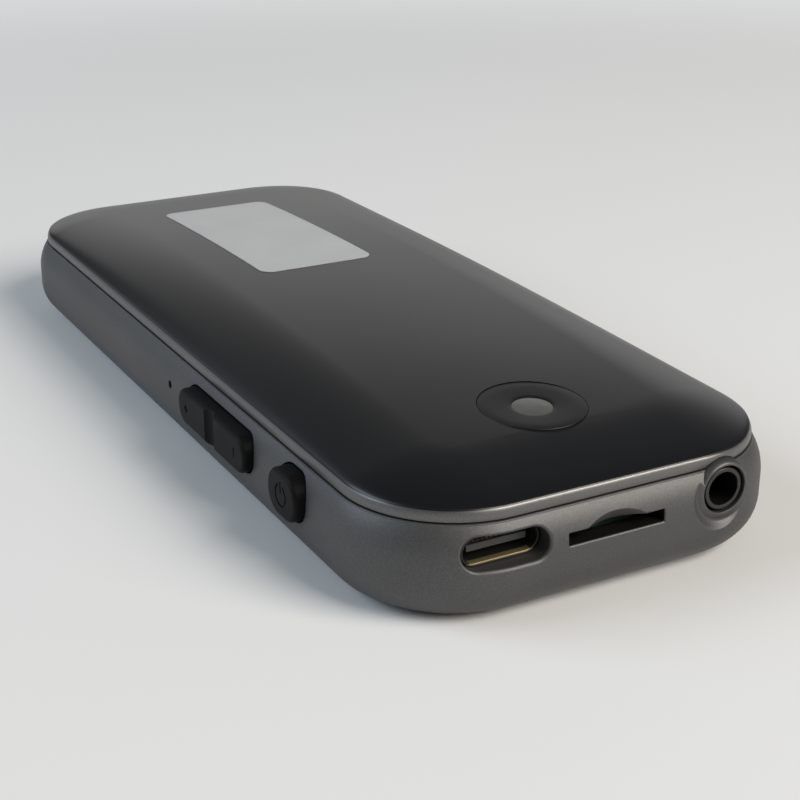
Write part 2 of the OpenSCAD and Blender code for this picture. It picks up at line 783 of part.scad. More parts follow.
module card_socket_base() color("#222428") {
    x0 = card_x - card_w / 2 + card_sheet_t;
    x1 = card_x + card_w / 2 - card_sheet_t;
    block([x0, card_y, board_top], [x1, card_y + card_l, board_top + card_base_t]);
    block([x0, card_y, board_top], [x0 + card_rail_w, card_y + card_l, card_top]);
    block([x1 - card_rail_w, card_y, board_top], [x1, card_y + card_l, card_top]);
    block([x0, card_y + card_l - 1, board_top], [x1, card_y + card_l, card_top]);
}

module card_socket_cover() color("#c0c3c6") {
    x0 = card_x - card_w / 2;
    x1 = card_x + card_w / 2;
    block([x0, card_y, card_top], [x1, card_y + card_l, card_top + card_sheet_t]);
    block([x0, card_y, board_top], [x0 + card_sheet_t, card_y + card_l, card_top + card_sheet_t]);
    block([x1 - card_sheet_t, card_y, board_top], [x1, card_y + card_l, card_top + card_sheet_t]);
}

module card_contacts() color("#d4af5a") {
    for (k = [0:7]) {
        x = card_x + (k - 3.5) * card_pitch;
        y = card_y + card_pad_y0;
        z = board_top + card_base_t;
        block([x - card_pad_w / 2, y, z], [x + card_pad_w / 2, y + card_pad_l, z + card_pad_t]);
    }
}

function jack_back_y() = -end_y + jack_sunk + jack_bore_l + jack_back_t;

// Audio jack: one moulding with a round barrel that reaches into the frame
module audio_jack() color("#2a2c30") {
    difference() {
        union() {
            bar_y(jack_x, -end_y + jack_sunk, jack_body_y + 0.5, jack_z, jack_barrel_r);
            block([jack_x - jack_body_w / 2, jack_body_y, jack_z - jack_body_h / 2],
                  [jack_x + jack_body_w / 2, jack_back_y(), jack_z + jack_body_h / 2]);
        }
        bar_y(jack_x, -end_y, -end_y + jack_sunk + jack_bore_l, jack_z, jack_bore_d / 2);
    }
}

module jack_terminals() color("#d4af5a") {
    half = jack_pin_t / 2;
    for (k = [0:2], s = [-1, 1]) {
        x = jack_x + s * (jack_body_w / 2 + half);
        out = x + s * jack_pin_reach;
        y0 = jack_body_y + jack_pin_y0 + k * jack_pin_pitch;
        y1 = y0 + jack_pin_w;
        block([min(x - s * half, out), y0, board_top], [max(x - s * half, out), y1, board_top + jack_pin_foot_t]);
        block([x - half, y0, board_top], [x + half, y1, board_top + jack_pin_h]);
    }
}

// Key cap and its inner part, along X
module key_body(y, l, h, back_x) {
    r = min(key_r, h / 2 - 0.1);
    on_side(back_x, y, key_z) soft_pad(h, l, r, back_x - face_x, key_edge_r);
}

// Power symbol: an open ring and a short bar, cut into the key's face
module power_mark() {
    on_side(face_x + mark_depth, power_y, key_z) {
        difference() {
            cylinder(r = 1.3, h = 1);
            translate([0, 0, -1]) cylinder(r = 1.05, h = 3);
            translate([0, -0.45, -1]) cube([3, 0.9, 3]);
        }
        translate([0.2, -0.13, 0]) cube([1.3, 0.26, 1]);
    }
}

module power_button() color("#2c2d31") {
    difference() {
        union() {
            key_body(power_y, power_l, power_h, key_back_x);
            block([flange_x, power_y - power_l / 2 - 0.8, key_z - power_h / 2 + 0.2],
                  [key_back_x, power_y + power_l / 2 + 0.8, key_z + power_h / 2 - 0.2]);
            bar_x(key_back_x - 0.1, stem_end_x, power_y, key_z, stem_r);
        }
        power_mark();
    }
}

module plunger(y) {
    bar_x(stem_end_x + plunger_play, stem_end_x + plunger_play + plunger_l, y, key_z, plunger_r);
}

module switch_body(y) {
    difference() {
        block([switch_x, y - switch_w / 2, board_top], [switch_x + switch_l, y + switch_w / 2, board_top + switch_h]);
        bar_x(switch_x - 1, stem_end_x + plunger_play + plunger_l + key_travel + 0.1, y, key_z,
              plunger_r + plunger_fit);
    }
}

module power_plunger() color("#e6e6e2") plunger(power_y);

module power_switch() color("#b9bcc0") switch_body(power_y);

// Volume rocker: two pads with a valley between them, tabs at the middle and two stems
module volume_rocker() color("#2c2d31") {
    valley_r = 2;
    valley_depth = 0.55;
    plus_y = rocker_y + rocker_reach + 0.4;
    minus_y = rocker_y - rocker_reach - 0.4;
    difference() {
        union() {
            key_body(rocker_y, rocker_l, rocker_h, key_back_x);
            block([flange_x + 0.05, rocker_y - 3, key_z - rocker_h / 2 - 0.5],
                  [key_back_x, rocker_y + 3, key_z + rocker_h / 2 + 0.5]);
            for (s = [-1, 1])
                bar_x(key_back_x - 0.1, stem_end_x, rocker_y + s * rocker_reach, key_z, stem_r);
        }
        translate([face_x - valley_r + valley_depth, rocker_y, 0]) cylinder(r = valley_r, h = 20);
        block([face_x - 1, minus_y - 0.12, key_z - 0.55], [face_x + mark_depth, minus_y + 0.12, key_z + 0.55]);
        block([face_x - 1, plus_y - 0.12, key_z - 0.55], [face_x + mark_depth, plus_y + 0.12, key_z + 0.55]);
        block([face_x - 1, plus_y - 0.55, key_z - 0.12], [face_x + mark_depth, plus_y + 0.55, key_z + 0.12]);
    }
}

module volume_up_plunger() color("#e6e6e2") plunger(rocker_y + rocker_reach);

module volume_down_plunger() color("#e6e6e2") plunger(rocker_y - rocker_reach);

module volume_switches() color("#b9bcc0") {
    for (s = [-1, 1]) switch_body(rocker_y + s * rocker_reach);
}

// Pressed bracket behind the keys: its foot lies on the middle plate, its rib is the rocker's pivot
module key_bracket() color("#aeb2b6") {
    x1 = bracket_x + bracket_t;
    difference() {
        union() {
            block([bracket_x, bracket_y0, plate_top], [x1, bracket_y1, part_z - tongue_drop - 0.3]);
            block([bracket_x, bracket_y0, plate_top], [bracket_x + bracket_foot_w, bracket_y1, plate_top + bracket_t]);
            block([key_back_x + rib_gap + 0.2, rocker_y - 0.6, key_z - 1.6], [x1, rocker_y + 0.6, key_z + 1.6]);
            translate([key_back_x + rib_gap + 0.4, rocker_y, key_z - 1.6]) cylinder(r = 0.4, h = 3.2);
        }
        for (y = [power_y, rocker_y - rocker_reach, rocker_y + rocker_reach])
            bar_x(bracket_x - 1, x1 + 1, y, key_z, stem_r + 0.35);
    }
}

mic_x = boot_l - wall_in_x;

module microphone() color("#c9b26b") {
    block([mic_x, mic_y - mic_w / 2, board_top], [mic_x + mic_l, mic_y + mic_w / 2, board_top + mic_h]);
}

// Rubber boot that leads the sound from the side hole to the microphone
module microphone_boot() color("#1d1d1f") {
    difference() {
        block([-wall_in_x, mic_y - boot_w / 2, board_top], [mic_x, mic_y + boot_w / 2, board_top + boot_h]);
        bar_x(-side_x, mic_x + 1, mic_y, key_z, mic_hole_d / 2);
    }
}

module camera_ring() color("#1b1d20") {
    at_camera() difference() {
        translate([0, 0, -camera_ring_t]) cylinder(r = camera_ring_d / 2, h = camera_ring_t);
        translate([0, 0, -3]) cylinder(r = window_d / 2, h = 4);
        translate([0, 0, -3]) cylinder(r = window_d / 2 + window_step, h = 3 - window_sunk);
        translate([0, 0, -camera_dish]) cylinder(r1 = window_d / 2, r2 = camera_ring_d / 2, h = camera_dish + 0.001);
    }
}

module camera_window() color("#5b5f66") {
    at_camera() translate([0, 0, -window_sunk - window_t])
        cylinder(r = window_d / 2 + window_step - 0.03, h = window_t);
}

module camera_module() color("#101114") {
    z0 = camera_foam_z + camera_foam_t;
    half = camera_block / 2;
    difference() {
        union() {
            block([-half, camera_y - half, z0], [half, camera_y + half, z0 + camera_block_h]);
            translate([0, camera_y, z0]) cylinder(r = camera_barrel_r, h = camera_block_h + camera_barrel_h);
        }
        translate([0, camera_y, z0 + camera_block_h + camera_barrel_h - 0.5])
            cylinder(r1 = 1, r2 = 2, h = 0.501);
    }
}

module camera_foam() color("#3a3a3a") {
    half = camera_block / 2 - 0.5;
    block([-half, camera_y - half, camera_foam_z], [half, camera_y + half, camera_foam_z + camera_foam_t]);
}

module camera_flex() color("#b5651d") {
    w = plug_w - 3;
    y = camera_y + camera_block / 2;
    z = camera_foam_z + camera_foam_t + flex_t;
    top = board_top + plug_h;
    bend_y = camera_plug_y - 0.6;
    block([-w / 2, y, z], [w / 2, bend_y, z + flex_t]);
    block([-w / 2, bend_y - flex_t, top], [w / 2, bend_y, z + flex_t]);
    block([-w / 2, bend_y - flex_t, top], [w / 2, camera_plug_y + plug_l, top + flex_t]);
}

module battery() color("#5c6470") {
    translate([0, battery_y, 0]) plate(battery_w, battery_l, 1.5, battery_z, battery_z + battery_t);
}

module battery_tape() color("#e8e4d0") {
    w = battery_w / 2 - tape_margin;
    block([-w, battery_y0 + tape_margin, plate_top], [w, battery_y1 - tape_margin, battery_z]);
}

module battery_foam() color("#3a3a3a") {
    y1 = battery_y + pad_l / 2;
    block([-pad_w / 2, battery_y - pad_l / 2, battery_z + battery_t],
          [pad_w / 2, y1, ceiling(body_w / 2, y1) - 0.2]);
}

module battery_tab() color("#c9a24a") {
    block([-plug_l, board_end_y - plug_edge - plug_l + 0.2, board_top + plug_h],
          [plug_l, battery_y0, board_top + plug_h + flex_t]);
}

module loudspeaker() color("#26282b") {
    half = speaker_w / 2;
    difference() {
        block([-half, speaker_y0, plate_top], [half, speaker_y1, plate_top + speaker_h]);
        block([-speaker_mouth_w / 2, speaker_y1 - speaker_mouth_depth, speaker_z - speaker_mouth_h / 2],
              [speaker_mouth_w / 2, speaker_y1 + 1, speaker_z + speaker_mouth_h / 2]);
    }
}

module speaker_gasket() color("#1d1d1f") {
    half_w = speaker_mouth_w / 2;
    half_h = speaker_mouth_h / 2;
    difference() {
        block([-half_w - gasket_w, speaker_y1, speaker_z - half_h - gasket_w],
              [half_w + gasket_w, wall_in_y - mesh_t, speaker_z + half_h + gasket_w]);
        block([-half_w, speaker_y1 - 1, speaker_z - half_h], [half_w, wall_in_y, speaker_z + half_h]);
    }
}

module speaker_mesh() color("#111214") {
    half_w = speaker_mouth_w / 2 + gasket_w / 2;
    half_h = speaker_mouth_h / 2 + gasket_w / 2;
    block([-half_w, wall_in_y - mesh_t, speaker_z - half_h], [half_w, wall_in_y, speaker_z + half_h]);
}

speaker_flex_x = board_x1 - 0.5;
speaker_flex_w = 1.8;

// Ribbon on the middle plate, from the board past the battery to the loudspeaker
module speaker_flex() color("#b5651d") {
    y1 = speaker_y0 + flex_bend;
    block([speaker_flex_x - speaker_flex_w, board_end_y - plug_edge - flex_bend, plate_top],
          [speaker_flex_x, y1, plate_top + flex_t]);
    block([speaker_w / 2, y1 - 2, plate_top], [speaker_flex_x, y1, plate_top + flex_t]);
}

module antenna_flex() color("#b5651d") {
    half = speaker_w / 2 - tape_margin;
    z = plate_top + speaker_h;
    block([-half, speaker_y0 + 1, z], [half, speaker_y1 - 1, z + flex_t]);
}

// Paper label that follows the bowed back
module label() color("#d9dadc") {
    t = 0.08;
    intersection() {
        translate([label_x, label_y, 0]) plate(label_w, label_l, 1.6, lip_z, lip_z + 10);
        translate([0, 0, dome_top(0) - bow_r]) rotate([0, 90, 0]) difference() {
            cylinder(r = bow_r + t, h = body_w, center = true, $fn = 2048);
            cylinder(r = bow_r, h = body_w + 2, center = true, $fn = 2048);
        }
    }
}

frame_shell();
back_cover();
front_glass();
glass_adhesive();
display_panel();
display_foam();
display_flex();
middle_plate();
plate_screws();
main_board();
board_screws();
processor_shield();
radio_shield();
board_chips();
board_connectors();
usb_shell();
usb_tongue();
usb_contacts();
card_socket_base();
card_socket_cover();
card_contacts();
audio_jack();
jack_terminals();
power_button();
power_plunger();
power_switch();
volume_rocker();
volume_up_plunger();
volume_down_plunger();
volume_switches();
key_bracket();
microphone();
microphone_boot();
camera_ring();
camera_window();
camera_module();
camera_foam();
camera_flex();
battery();
battery_tape();
battery_foam();
battery_tab();
loudspeaker();
speaker_gasket();
speaker_mesh();
speaker_flex();
antenna_flex();
label();
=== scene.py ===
# %% [markdown]
# # Pocket translator, back up
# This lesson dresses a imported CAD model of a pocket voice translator. The CAD solids carry the
# sizes and the joints, and Blender adds soft edges, fine surfaces and light. The model is loaded
# first, as a fixed frame: nothing below moves a solid, it only covers or replaces it.

# %% Load the frame
import json
import math
import bmesh
import bpy
from mathutils import Matrix, Vector

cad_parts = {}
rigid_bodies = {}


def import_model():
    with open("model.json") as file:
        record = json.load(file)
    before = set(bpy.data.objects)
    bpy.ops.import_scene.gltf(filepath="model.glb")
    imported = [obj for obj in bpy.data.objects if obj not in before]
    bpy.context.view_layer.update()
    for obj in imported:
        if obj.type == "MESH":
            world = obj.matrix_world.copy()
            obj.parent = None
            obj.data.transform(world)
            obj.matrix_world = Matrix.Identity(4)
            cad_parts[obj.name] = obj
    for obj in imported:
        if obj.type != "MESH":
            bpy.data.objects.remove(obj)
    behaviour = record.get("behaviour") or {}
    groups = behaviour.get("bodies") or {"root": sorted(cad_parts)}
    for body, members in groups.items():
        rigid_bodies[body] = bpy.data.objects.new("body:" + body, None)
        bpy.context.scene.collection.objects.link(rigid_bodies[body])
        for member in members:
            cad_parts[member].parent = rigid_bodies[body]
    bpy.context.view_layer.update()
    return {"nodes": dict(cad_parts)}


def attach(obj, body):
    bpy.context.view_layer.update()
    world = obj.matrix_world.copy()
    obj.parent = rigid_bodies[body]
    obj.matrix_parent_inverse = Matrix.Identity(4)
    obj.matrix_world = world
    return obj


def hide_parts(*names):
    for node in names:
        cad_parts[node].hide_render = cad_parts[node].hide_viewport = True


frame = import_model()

# %% [markdown]
# All lengths below are in millimetres, because that is how a maker reads a drawing of a thing
# this small. Blender's scene is in metres, so one factor turns one into the other at the end of
# each piece. The few sizes that the pieces share are named once here.

# %% Shared sizes
MM = 0.001
BODY_W, BODY_L, CORNER_R = 50.0, 120.0, 13.5
SIDE_X, END_Y = BODY_W / 2, BODY_L / 2
STRAIGHT_X, STRAIGHT_Y = SIDE_X - CORNER_R, END_Y - CORNER_R
PART_Z = 10.8
RIM_Z, RIM_INSET = 11.0, 1.35
LIP_Z, LIP_INSET = 12.1, 1.5
DOME_RISE, DOME_BOW, DOME_W = 1.3, 2.7, 10.0
KEY_Z, FACE_X = 7.4, -SIDE_X - 1.1
JACK_X, JACK_Z = 13.3, 8.5
CAMERA_Y = -43.8
print("body:", BODY_W, "x", BODY_L, "mm")

# %% [markdown]
# ## The camera
# The device is seen from above its port end and its key side, through a lens of about 72 mm on a
# full 36 mm sensor, so the near corner looks much larger than the far one. The camera is placed by
# its own axes, written as the columns of a matrix, because that keeps a slight roll exactly.

# %% Camera
AZIMUTH, ELEVATION, ROLL = map(math.radians, (-28.695, 22.428, 0.186))
SENSOR, FRAME_PX, FOCAL_PX = 36.0, 800, 1606.051
eye = Vector((-86.415, -172.912, 79.032)) * MM
back = Vector((math.sin(AZIMUTH) * math.cos(ELEVATION), -math.cos(AZIMUTH) * math.cos(ELEVATION),
               math.sin(ELEVATION)))
level = Vector((math.cos(AZIMUTH), math.sin(AZIMUTH), 0))
rise = back.cross(level)
right = math.cos(ROLL) * level + math.sin(ROLL) * rise
up = -math.sin(ROLL) * level + math.cos(ROLL) * rise

lens = bpy.data.cameras.new("studio_camera")
lens.sensor_fit, lens.sensor_width = "HORIZONTAL", SENSOR
lens.lens = SENSOR * FOCAL_PX / FRAME_PX
lens.clip_start, lens.clip_end = 0.001, 20.0
camera = bpy.data.objects.new("studio_camera", lens)
bpy.context.collection.objects.link(camera)
camera.matrix_world = Matrix((
    (right.x, up.x, back.x, eye.x),
    (right.y, up.y, back.y, eye.y),
    (right.z, up.z, back.z, eye.z),
    (0, 0, 0, 1)))
bpy.context.scene.camera = camera
print("lens:", round(lens.lens, 2), "mm")

# %% [markdown]
# ## Nodes in one line
# A material is a small machine of nodes. Made by hand, each node takes a line to create, a line
# for each setting and a line for each link. One helper does all three: a value that is itself a
# socket is linked, and anything else is set plainly.

# %% Node helpers
def wire(tree, node, sockets):
    for key, value in sockets.items():
        if isinstance(value, bpy.types.NodeSocket):
            tree.links.new(value, node.inputs[key])
        else:
            node.inputs[key].default_value = value


def add(tree, kind, sockets={}, **settings):
    node = tree.nodes.new("ShaderNode" + kind)
    for name, value in settings.items():
        setattr(node, name, value)
    wire(tree, node, sockets)
    return node


def object_coordinates(tree):
    return add(tree, "TexCoord").outputs["Object"]


def new_object(name, bm):
    mesh = bpy.data.meshes.new(name)
    bm.to_mesh(mesh)
    thing = bpy.data.objects.new(name, mesh)
    bpy.context.collection.objects.link(thing)
    return thing


print("node helpers ready")

# %% [markdown]
# ## Light
# A satin surface is drawn by what it mirrors. A broad, low softbox behind the device gives its
# bowed back a long fade from grey to near black. A large, cool softbox on the key side is the main
# light, a warmer one stands in front of the port end, and a dim, even world fills the shadows. The
# view transform is Standard, so a colour written at a plain light level is also what appears.

# %% World and softboxes
PALE = (0.74, 0.745, 0.75, 1)
scene = bpy.context.scene
scene.view_settings.view_transform = "Standard"
world = bpy.data.worlds.new("studio_world")
scene.world = world
world.use_nodes = True
tree = world.node_tree
tree.nodes.clear()
fill = add(tree, "Background", {"Color": (0.97, 0.98, 1.0, 1), "Strength": 0.12})
seen = add(tree, "Background", {"Color": PALE})
by_camera = add(tree, "LightPath").outputs["Is Camera Ray"]
choose = add(tree, "MixShader", {"Fac": by_camera, 1: fill.outputs[0], 2: seen.outputs[0]})
add(tree, "OutputWorld", {"Surface": choose.outputs[0]})


def softbox(name, place, aim, width, height, power, tint):
    lamp = bpy.data.lights.new(name, "AREA")
    lamp.shape, lamp.size, lamp.size_y = "RECTANGLE", width, height
    lamp.energy, lamp.color = power, tint
    box = bpy.data.objects.new(name, lamp)
    bpy.context.collection.objects.link(box)
    box.location = place
    box.rotation_euler = (Vector(aim) - Vector(place)).to_track_quat("-Z", "Y").to_euler()
    box.visible_camera = False


softbox("back_softbox", (0.34, 0.62, 0.20), (0.0, 0.02, 0.01), 0.95, 0.32, 0.64, (1.0, 0.99, 0.97))
softbox("key_side_softbox", (-0.80, 0.40, 0.58), (0, 0, 0), 0.8, 0.6, 5.5, (0.78, 0.90, 1.0))
softbox("port_end_softbox", (0.36, -0.66, 0.56), (0, 0, 0), 0.55, 0.55, 8.2, (1.0, 0.94, 0.86))

# %% [markdown]
# The floor is one large pale sheet. Near the device it is matt paint, which takes the light and
# the shadow. Further out, lamps leave bright and dark patches on any real floor, so there the
# camera sees it fade into the same pale tone that the world has, and no horizon shows.

# %% Floor
FLOOR_HALF, FADE_FROM, FADE_TO = 4.0, 0.22, 0.45
bm = bmesh.new()
bmesh.ops.create_grid(bm, x_segments=1, y_segments=1, size=FLOOR_HALF)
floor = new_object("floor", bm)
bm.free()
paint = bpy.data.materials.new("pale_floor")
paint.use_nodes = True
tree = paint.node_tree
matt = tree.nodes["Principled BSDF"]
wire(tree, matt, {"Base Color": (0.86, 0.865, 0.87, 1), "Roughness": 0.85,
                  "Specular IOR Level": 0.1})
far = add(tree, "Emission", {"Color": PALE})
distance = add(tree, "VectorMath", {0: object_coordinates(tree)}, operation="LENGTH")
fade = add(tree, "MapRange", {"Value": distance.outputs["Value"], "From Min": FADE_FROM,
                              "From Max": FADE_TO}, interpolation_type="SMOOTHSTEP")
by_camera = add(tree, "LightPath").outputs["Is Camera Ray"]
seen_far = add(tree, "Math", {0: fade.outputs["Result"], 1: by_camera}, operation="MULTIPLY")
choose = add(tree, "MixShader", {"Fac": seen_far.outputs[0], 1: matt.outputs[0], 2: far.outputs[0]})
wire(tree, tree.nodes["Material Output"], {"Surface": choose.outputs[0]})
floor.data.materials.append(paint)
print("floor fades from", FADE_FROM, "to", FADE_TO, "m")

# %% [markdown]
# ## Shared effects
# A real surface is never one flat colour. Four small effects are enough for most of this device:
# a broad drift of tone, a fine grain that also tips the normal, patches rubbed smooth by a hand,
# and the lines that rolling or turning leaves in metal. Each is a node group with named sockets,
# built once and placed in many materials with its own values. They read Object coordinates, so
# the pattern sits in the material and not on the camera.

# %% Node groups
def new_group(name, ins, outs):
    group = bpy.data.node_groups.new(name, "ShaderNodeTree")
    for label, kind, value in ins:
        group.interface.new_socket(name=label, in_out="INPUT",
                                   socket_type="NodeSocket" + kind).default_value = value
    for label, kind in outs:
        group.interface.new_socket(name=label, in_out="OUTPUT", socket_type="NodeSocket" + kind)
    given = group.nodes.new("NodeGroupInput").outputs
    return group, given, group.nodes.new("NodeGroupOutput")


def noise(tree, vector, scale, detail, roughness=0.5):
    return add(tree, "TexNoise", {"Vector": vector, "Scale": scale, "Detail": detail,
                                  "Roughness": roughness}).outputs["Fac"]


def remap(tree, value, low, high, to_low, to_high):
    return add(tree, "MapRange", {"Value": value, "From Min": low, "From Max": high,
                                  "To Min": to_low, "To Max": to_high}).outputs["Result"]


def mix_colours(tree, share, first, second):
    return add(tree, "Mix", {"Factor": share, "A": first, "B": second},
               data_type="RGBA").outputs["Result"]


def tipped(tree, height, strength, distance):
    return add(tree, "Bump", {"Height": height, "Strength": strength,
                              "Distance": distance}).outputs["Normal"]


FINE_DEPTH = 0.00002
drift, given, result = new_group(
    "tone_drift",
    [("Light", "Color", (0.5, 0.5, 0.5, 1)), ("Dark", "Color", (0.4, 0.4, 0.4, 1)),
     ("Scale", "Float", 60.0)],
    [("Color", "Color"), ("Mask", "Float")])
clouds = noise(drift, object_coordinates(drift), given["Scale"], 4.0, 0.55)
mask = remap(drift, clouds, 0.35, 0.65, 0, 1)
tone = mix_colours(drift, mask, given["Dark"], given["Light"])
wire(drift, result, {"Color": tone, "Mask": mask})

grain, given, result = new_group(
    "fine_grain",
    [("Scale", "Float", 2500.0), ("Height", "Float", 0.2)],
    [("Mask", "Float"), ("Normal", "Vector")])
fine = noise(grain, object_coordinates(grain), given["Scale"], 3.0, 0.6)
wire(grain, result, {"Mask": fine, "Normal": tipped(grain, fine, given["Height"], FINE_DEPTH)})

rub, given, result = new_group(
    "hand_rub",
    [("Scale", "Float", 35.0), ("Matt", "Float", 0.45), ("Rubbed", "Float", 0.35)],
    [("Roughness", "Float"), ("Mask", "Float")])
patches = remap(rub, noise(rub, object_coordinates(rub), given["Scale"], 2.0), 0.3, 0.7, 0, 1)
worn = add(rub, "Mix", {"Factor": patches, "A": given["Matt"], "B": given["Rubbed"]})
wire(rub, result, {"Roughness": worn.outputs["Result"], "Mask": patches})

rolled, given, result = new_group(
    "rolled_lines",
    [("Stretch", "Vector", (40.0, 900.0, 900.0)), ("Height", "Float", 0.15)],
    [("Mask", "Float"), ("Normal", "Vector")])
scaled = add(rolled, "VectorMath", {0: object_coordinates(rolled), 1: given["Stretch"]},
             operation="MULTIPLY")
lines = noise(rolled, scaled.outputs[0], 4.0, 3.0)
wire(rolled, result, {"Mask": lines, "Normal": tipped(rolled, lines, given["Height"], FINE_DEPTH)})
print("effects:", [g.name for g in bpy.data.node_groups])

# %% [markdown]
# A material is then a Principled shader with those groups in front of it. `satin` is the form that
# most finishes here share: two tones that drift into each other, a grain, and a roughness that
# the hand has changed in places. What is the same all over a surface, such as how metallic it is,
# is set plainly on the shader's own socket.

# %% Finish builders
def place(tree, group, **values):
    return add(tree, "Group", values, node_tree=group).outputs


def drifting(tree, light, dark, scale):
    return place(tree, drift, Light=(*light, 1.0), Dark=(*dark, 1.0), Scale=scale)["Color"]


def rubbed_by_hand(tree, scale, matt, rubbed):
    return place(tree, rub, Scale=scale, Matt=matt, Rubbed=rubbed)["Roughness"]


def new_finish(name, metallic=0.0, specular=0.5, coat=0.0, coat_roughness=0.1):
    finish = bpy.data.materials.new(name)
    finish.use_nodes = True
    tree = finish.node_tree
    bsdf = tree.nodes["Principled BSDF"]
    wire(tree, bsdf, {"Metallic": metallic, "Specular IOR Level": specular,
                      "Coat Weight": coat, "Coat Roughness": coat_roughness})
    return finish, tree, bsdf


def satin(name, light, dark, matt, rubbed, drift_scale=60.0, grain_scale=2500.0, grain_height=0.15,
          rub_scale=35.0, flake_scale=0.0, **plain):
    finish, tree, bsdf = new_finish(name, **plain)
    tone = drifting(tree, light, dark, drift_scale)
    if flake_scale:
        flakes = drifting(tree, [1.2 * c for c in light], [0.85 * c for c in dark], flake_scale)
        tone = mix_colours(tree, 0.5, tone, flakes)
    tooth = place(tree, grain, Scale=grain_scale, Height=grain_height)
    wire(tree, bsdf, {"Base Color": tone, "Normal": tooth["Normal"],
                      "Roughness": rubbed_by_hand(tree, rub_scale, matt, rubbed)})
    return finish


def rolled_metal(name, light, dark, matt, rubbed, stretch=(40.0, 900.0, 900.0), height=0.15,
                 metallic=1.0):
    finish, tree, bsdf = new_finish(name, metallic=metallic)
    marks = place(tree, rolled, Stretch=stretch, Height=height)
    wire(tree, bsdf, {"Base Color": drifting(tree, light, dark, 220.0),
                      "Roughness": rubbed_by_hand(tree, 120.0, matt, rubbed),
                      "Normal": marks["Normal"]})
    return finish


frame_satin = satin("frame_satin", (0.122, 0.122, 0.124), (0.104, 0.104, 0.106), 0.56, 0.50,
                    grain_scale=3600.0, grain_height=0.16, flake_scale=6000.0, metallic=0.85)
# Near black for the walls deep in the card slot and in the jack's bore: painted shade.
painted_shade_black = satin("painted_shade_black", (0.0065, 0.0062, 0.0058), (0.0045, 0.0043, 0.0040), 0.66, 0.56,
                   grain_scale=3600.0, grain_height=0.2, specular=0.12)
# The rim's pale, frame-like tone is painted reflection of the light on a steep edge that has the
# same paint as the dark back, and the lighter tone of its lip is a painted highlight.
rim_painted_reflection = satin("rim_painted_reflection", (0.172, 0.171, 0.169), (0.152, 0.151, 0.149), 0.46, 0.40,
                  grain_scale=3600.0, grain_height=0.16, flake_scale=6000.0, metallic=0.8)
rim_painted_highlight = satin("rim_painted_highlight", (0.200, 0.198, 0.196), (0.176, 0.175, 0.173), 0.38, 0.32,
                   grain_scale=3600.0, grain_height=0.10, metallic=0.9)
cover_satin = satin("cover_satin", (0.0040, 0.0045, 0.0062), (0.0030, 0.0034, 0.0048), 0.34, 0.31,
                    drift_scale=25.0, grain_scale=3600.0, grain_height=0.10, rub_scale=22.0)
print("finishes:", frame_satin.name, cover_satin.name)

# %% [markdown]
# ## Making pieces
# Each piece is built in millimetres in a bmesh, then scaled to metres with its place in the mesh,
# so its object stays at the origin. Edges that turn sharply are marked, the rest is shaded smooth.

# %% Piece helper
MERGE = 0.0000005


def finish_piece(bm, name, finishes, body="housing", replaces=(), crease=35.0):
    bmesh.ops.scale(bm, vec=(MM, MM, MM), verts=bm.verts)
    bmesh.ops.remove_doubles(bm, verts=bm.verts, dist=MERGE)
    bmesh.ops.recalc_face_normals(bm, faces=bm.faces)
    for face in bm.faces:
        face.smooth = True
    for edge in bm.edges:
        edge.smooth = len(edge.link_faces) == 2 and edge.calc_face_angle(0) < math.radians(crease)
    piece = new_object(name, bm)
    bm.free()
    for finish in finishes:
        piece.data.materials.append(finish)
    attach(piece, body)
    if replaces:
        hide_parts(*replaces)
    print(name + ":", len(piece.data.vertices), "points")
    return piece


# %% [markdown]
# A few steps come back in every piece: a rounded rectangle, a face pushed out to a thickness, a
# straight cut, a rod, a box and a turned shape. Each is a few bmesh operators under one name, so
# that the cells below can be read as a maker would tell them.

# %% Drawing helpers
def verts_of(made):
    return [g for g in made["geom"] if isinstance(g, bmesh.types.BMVert)]


def edges_of(made, key="geom"):
    return [g for g in made[key] if isinstance(g, bmesh.types.BMEdge)]


def rounded_face(bm, w, l, r, z, steps):
    made = bmesh.ops.create_grid(bm, x_segments=1, y_segments=1, size=0.5)["verts"]
    bmesh.ops.scale(bm, vec=(w, l, 1), verts=made)
    bmesh.ops.translate(bm, vec=(0, 0, z), verts=made)
    bmesh.ops.bevel(bm, geom=made, offset=r, offset_type="OFFSET", segments=steps, profile=0.5,
                    affect="VERTICES", material=-1)
    return max((f for f in bm.faces if all(abs(v.co.z - z) < 1e-6 for v in f.verts)),
               key=lambda f: f.calc_area())


def thicken(bm, faces, step):
    made = bmesh.ops.extrude_face_region(bm, geom=faces)
    bmesh.ops.translate(bm, vec=step, verts=verts_of(made))


def slice_at(bm, point, normal, **more):
    return bmesh.ops.bisect_plane(bm, geom=bm.verts[:] + bm.edges[:] + bm.faces[:], dist=0.0001,
                                  plane_co=point, plane_no=normal, **more)


def rod(bm, radius, length, place, steps):
    bmesh.ops.create_cone(bm, cap_ends=True, segments=steps, radius1=radius, radius2=radius,
                          depth=length, matrix=place)


def rod_tool(radius, length, place, steps=48):
    tool = bmesh.new()
    rod(tool, radius, length, place, steps)
    return tool


def join_box(bm, low, high):
    made = bmesh.ops.create_cube(bm, size=1)["verts"]
    bmesh.ops.scale(bm, vec=[b - a for a, b in zip(low, high)], verts=made)
    bmesh.ops.translate(bm, vec=[(a + b) / 2 for a, b in zip(low, high)], verts=made)


def box_tool(low, high):
    tool = bmesh.new()
    join_box(tool, low, high)
    return tool


def spread(vert, core, radius):
    middle = Vector([math.copysign(min(abs(c), k), c) for c, k in zip(vert.co.xy, core)])
    vert.co.xy = middle + (vert.co.xy - middle).normalized() * radius


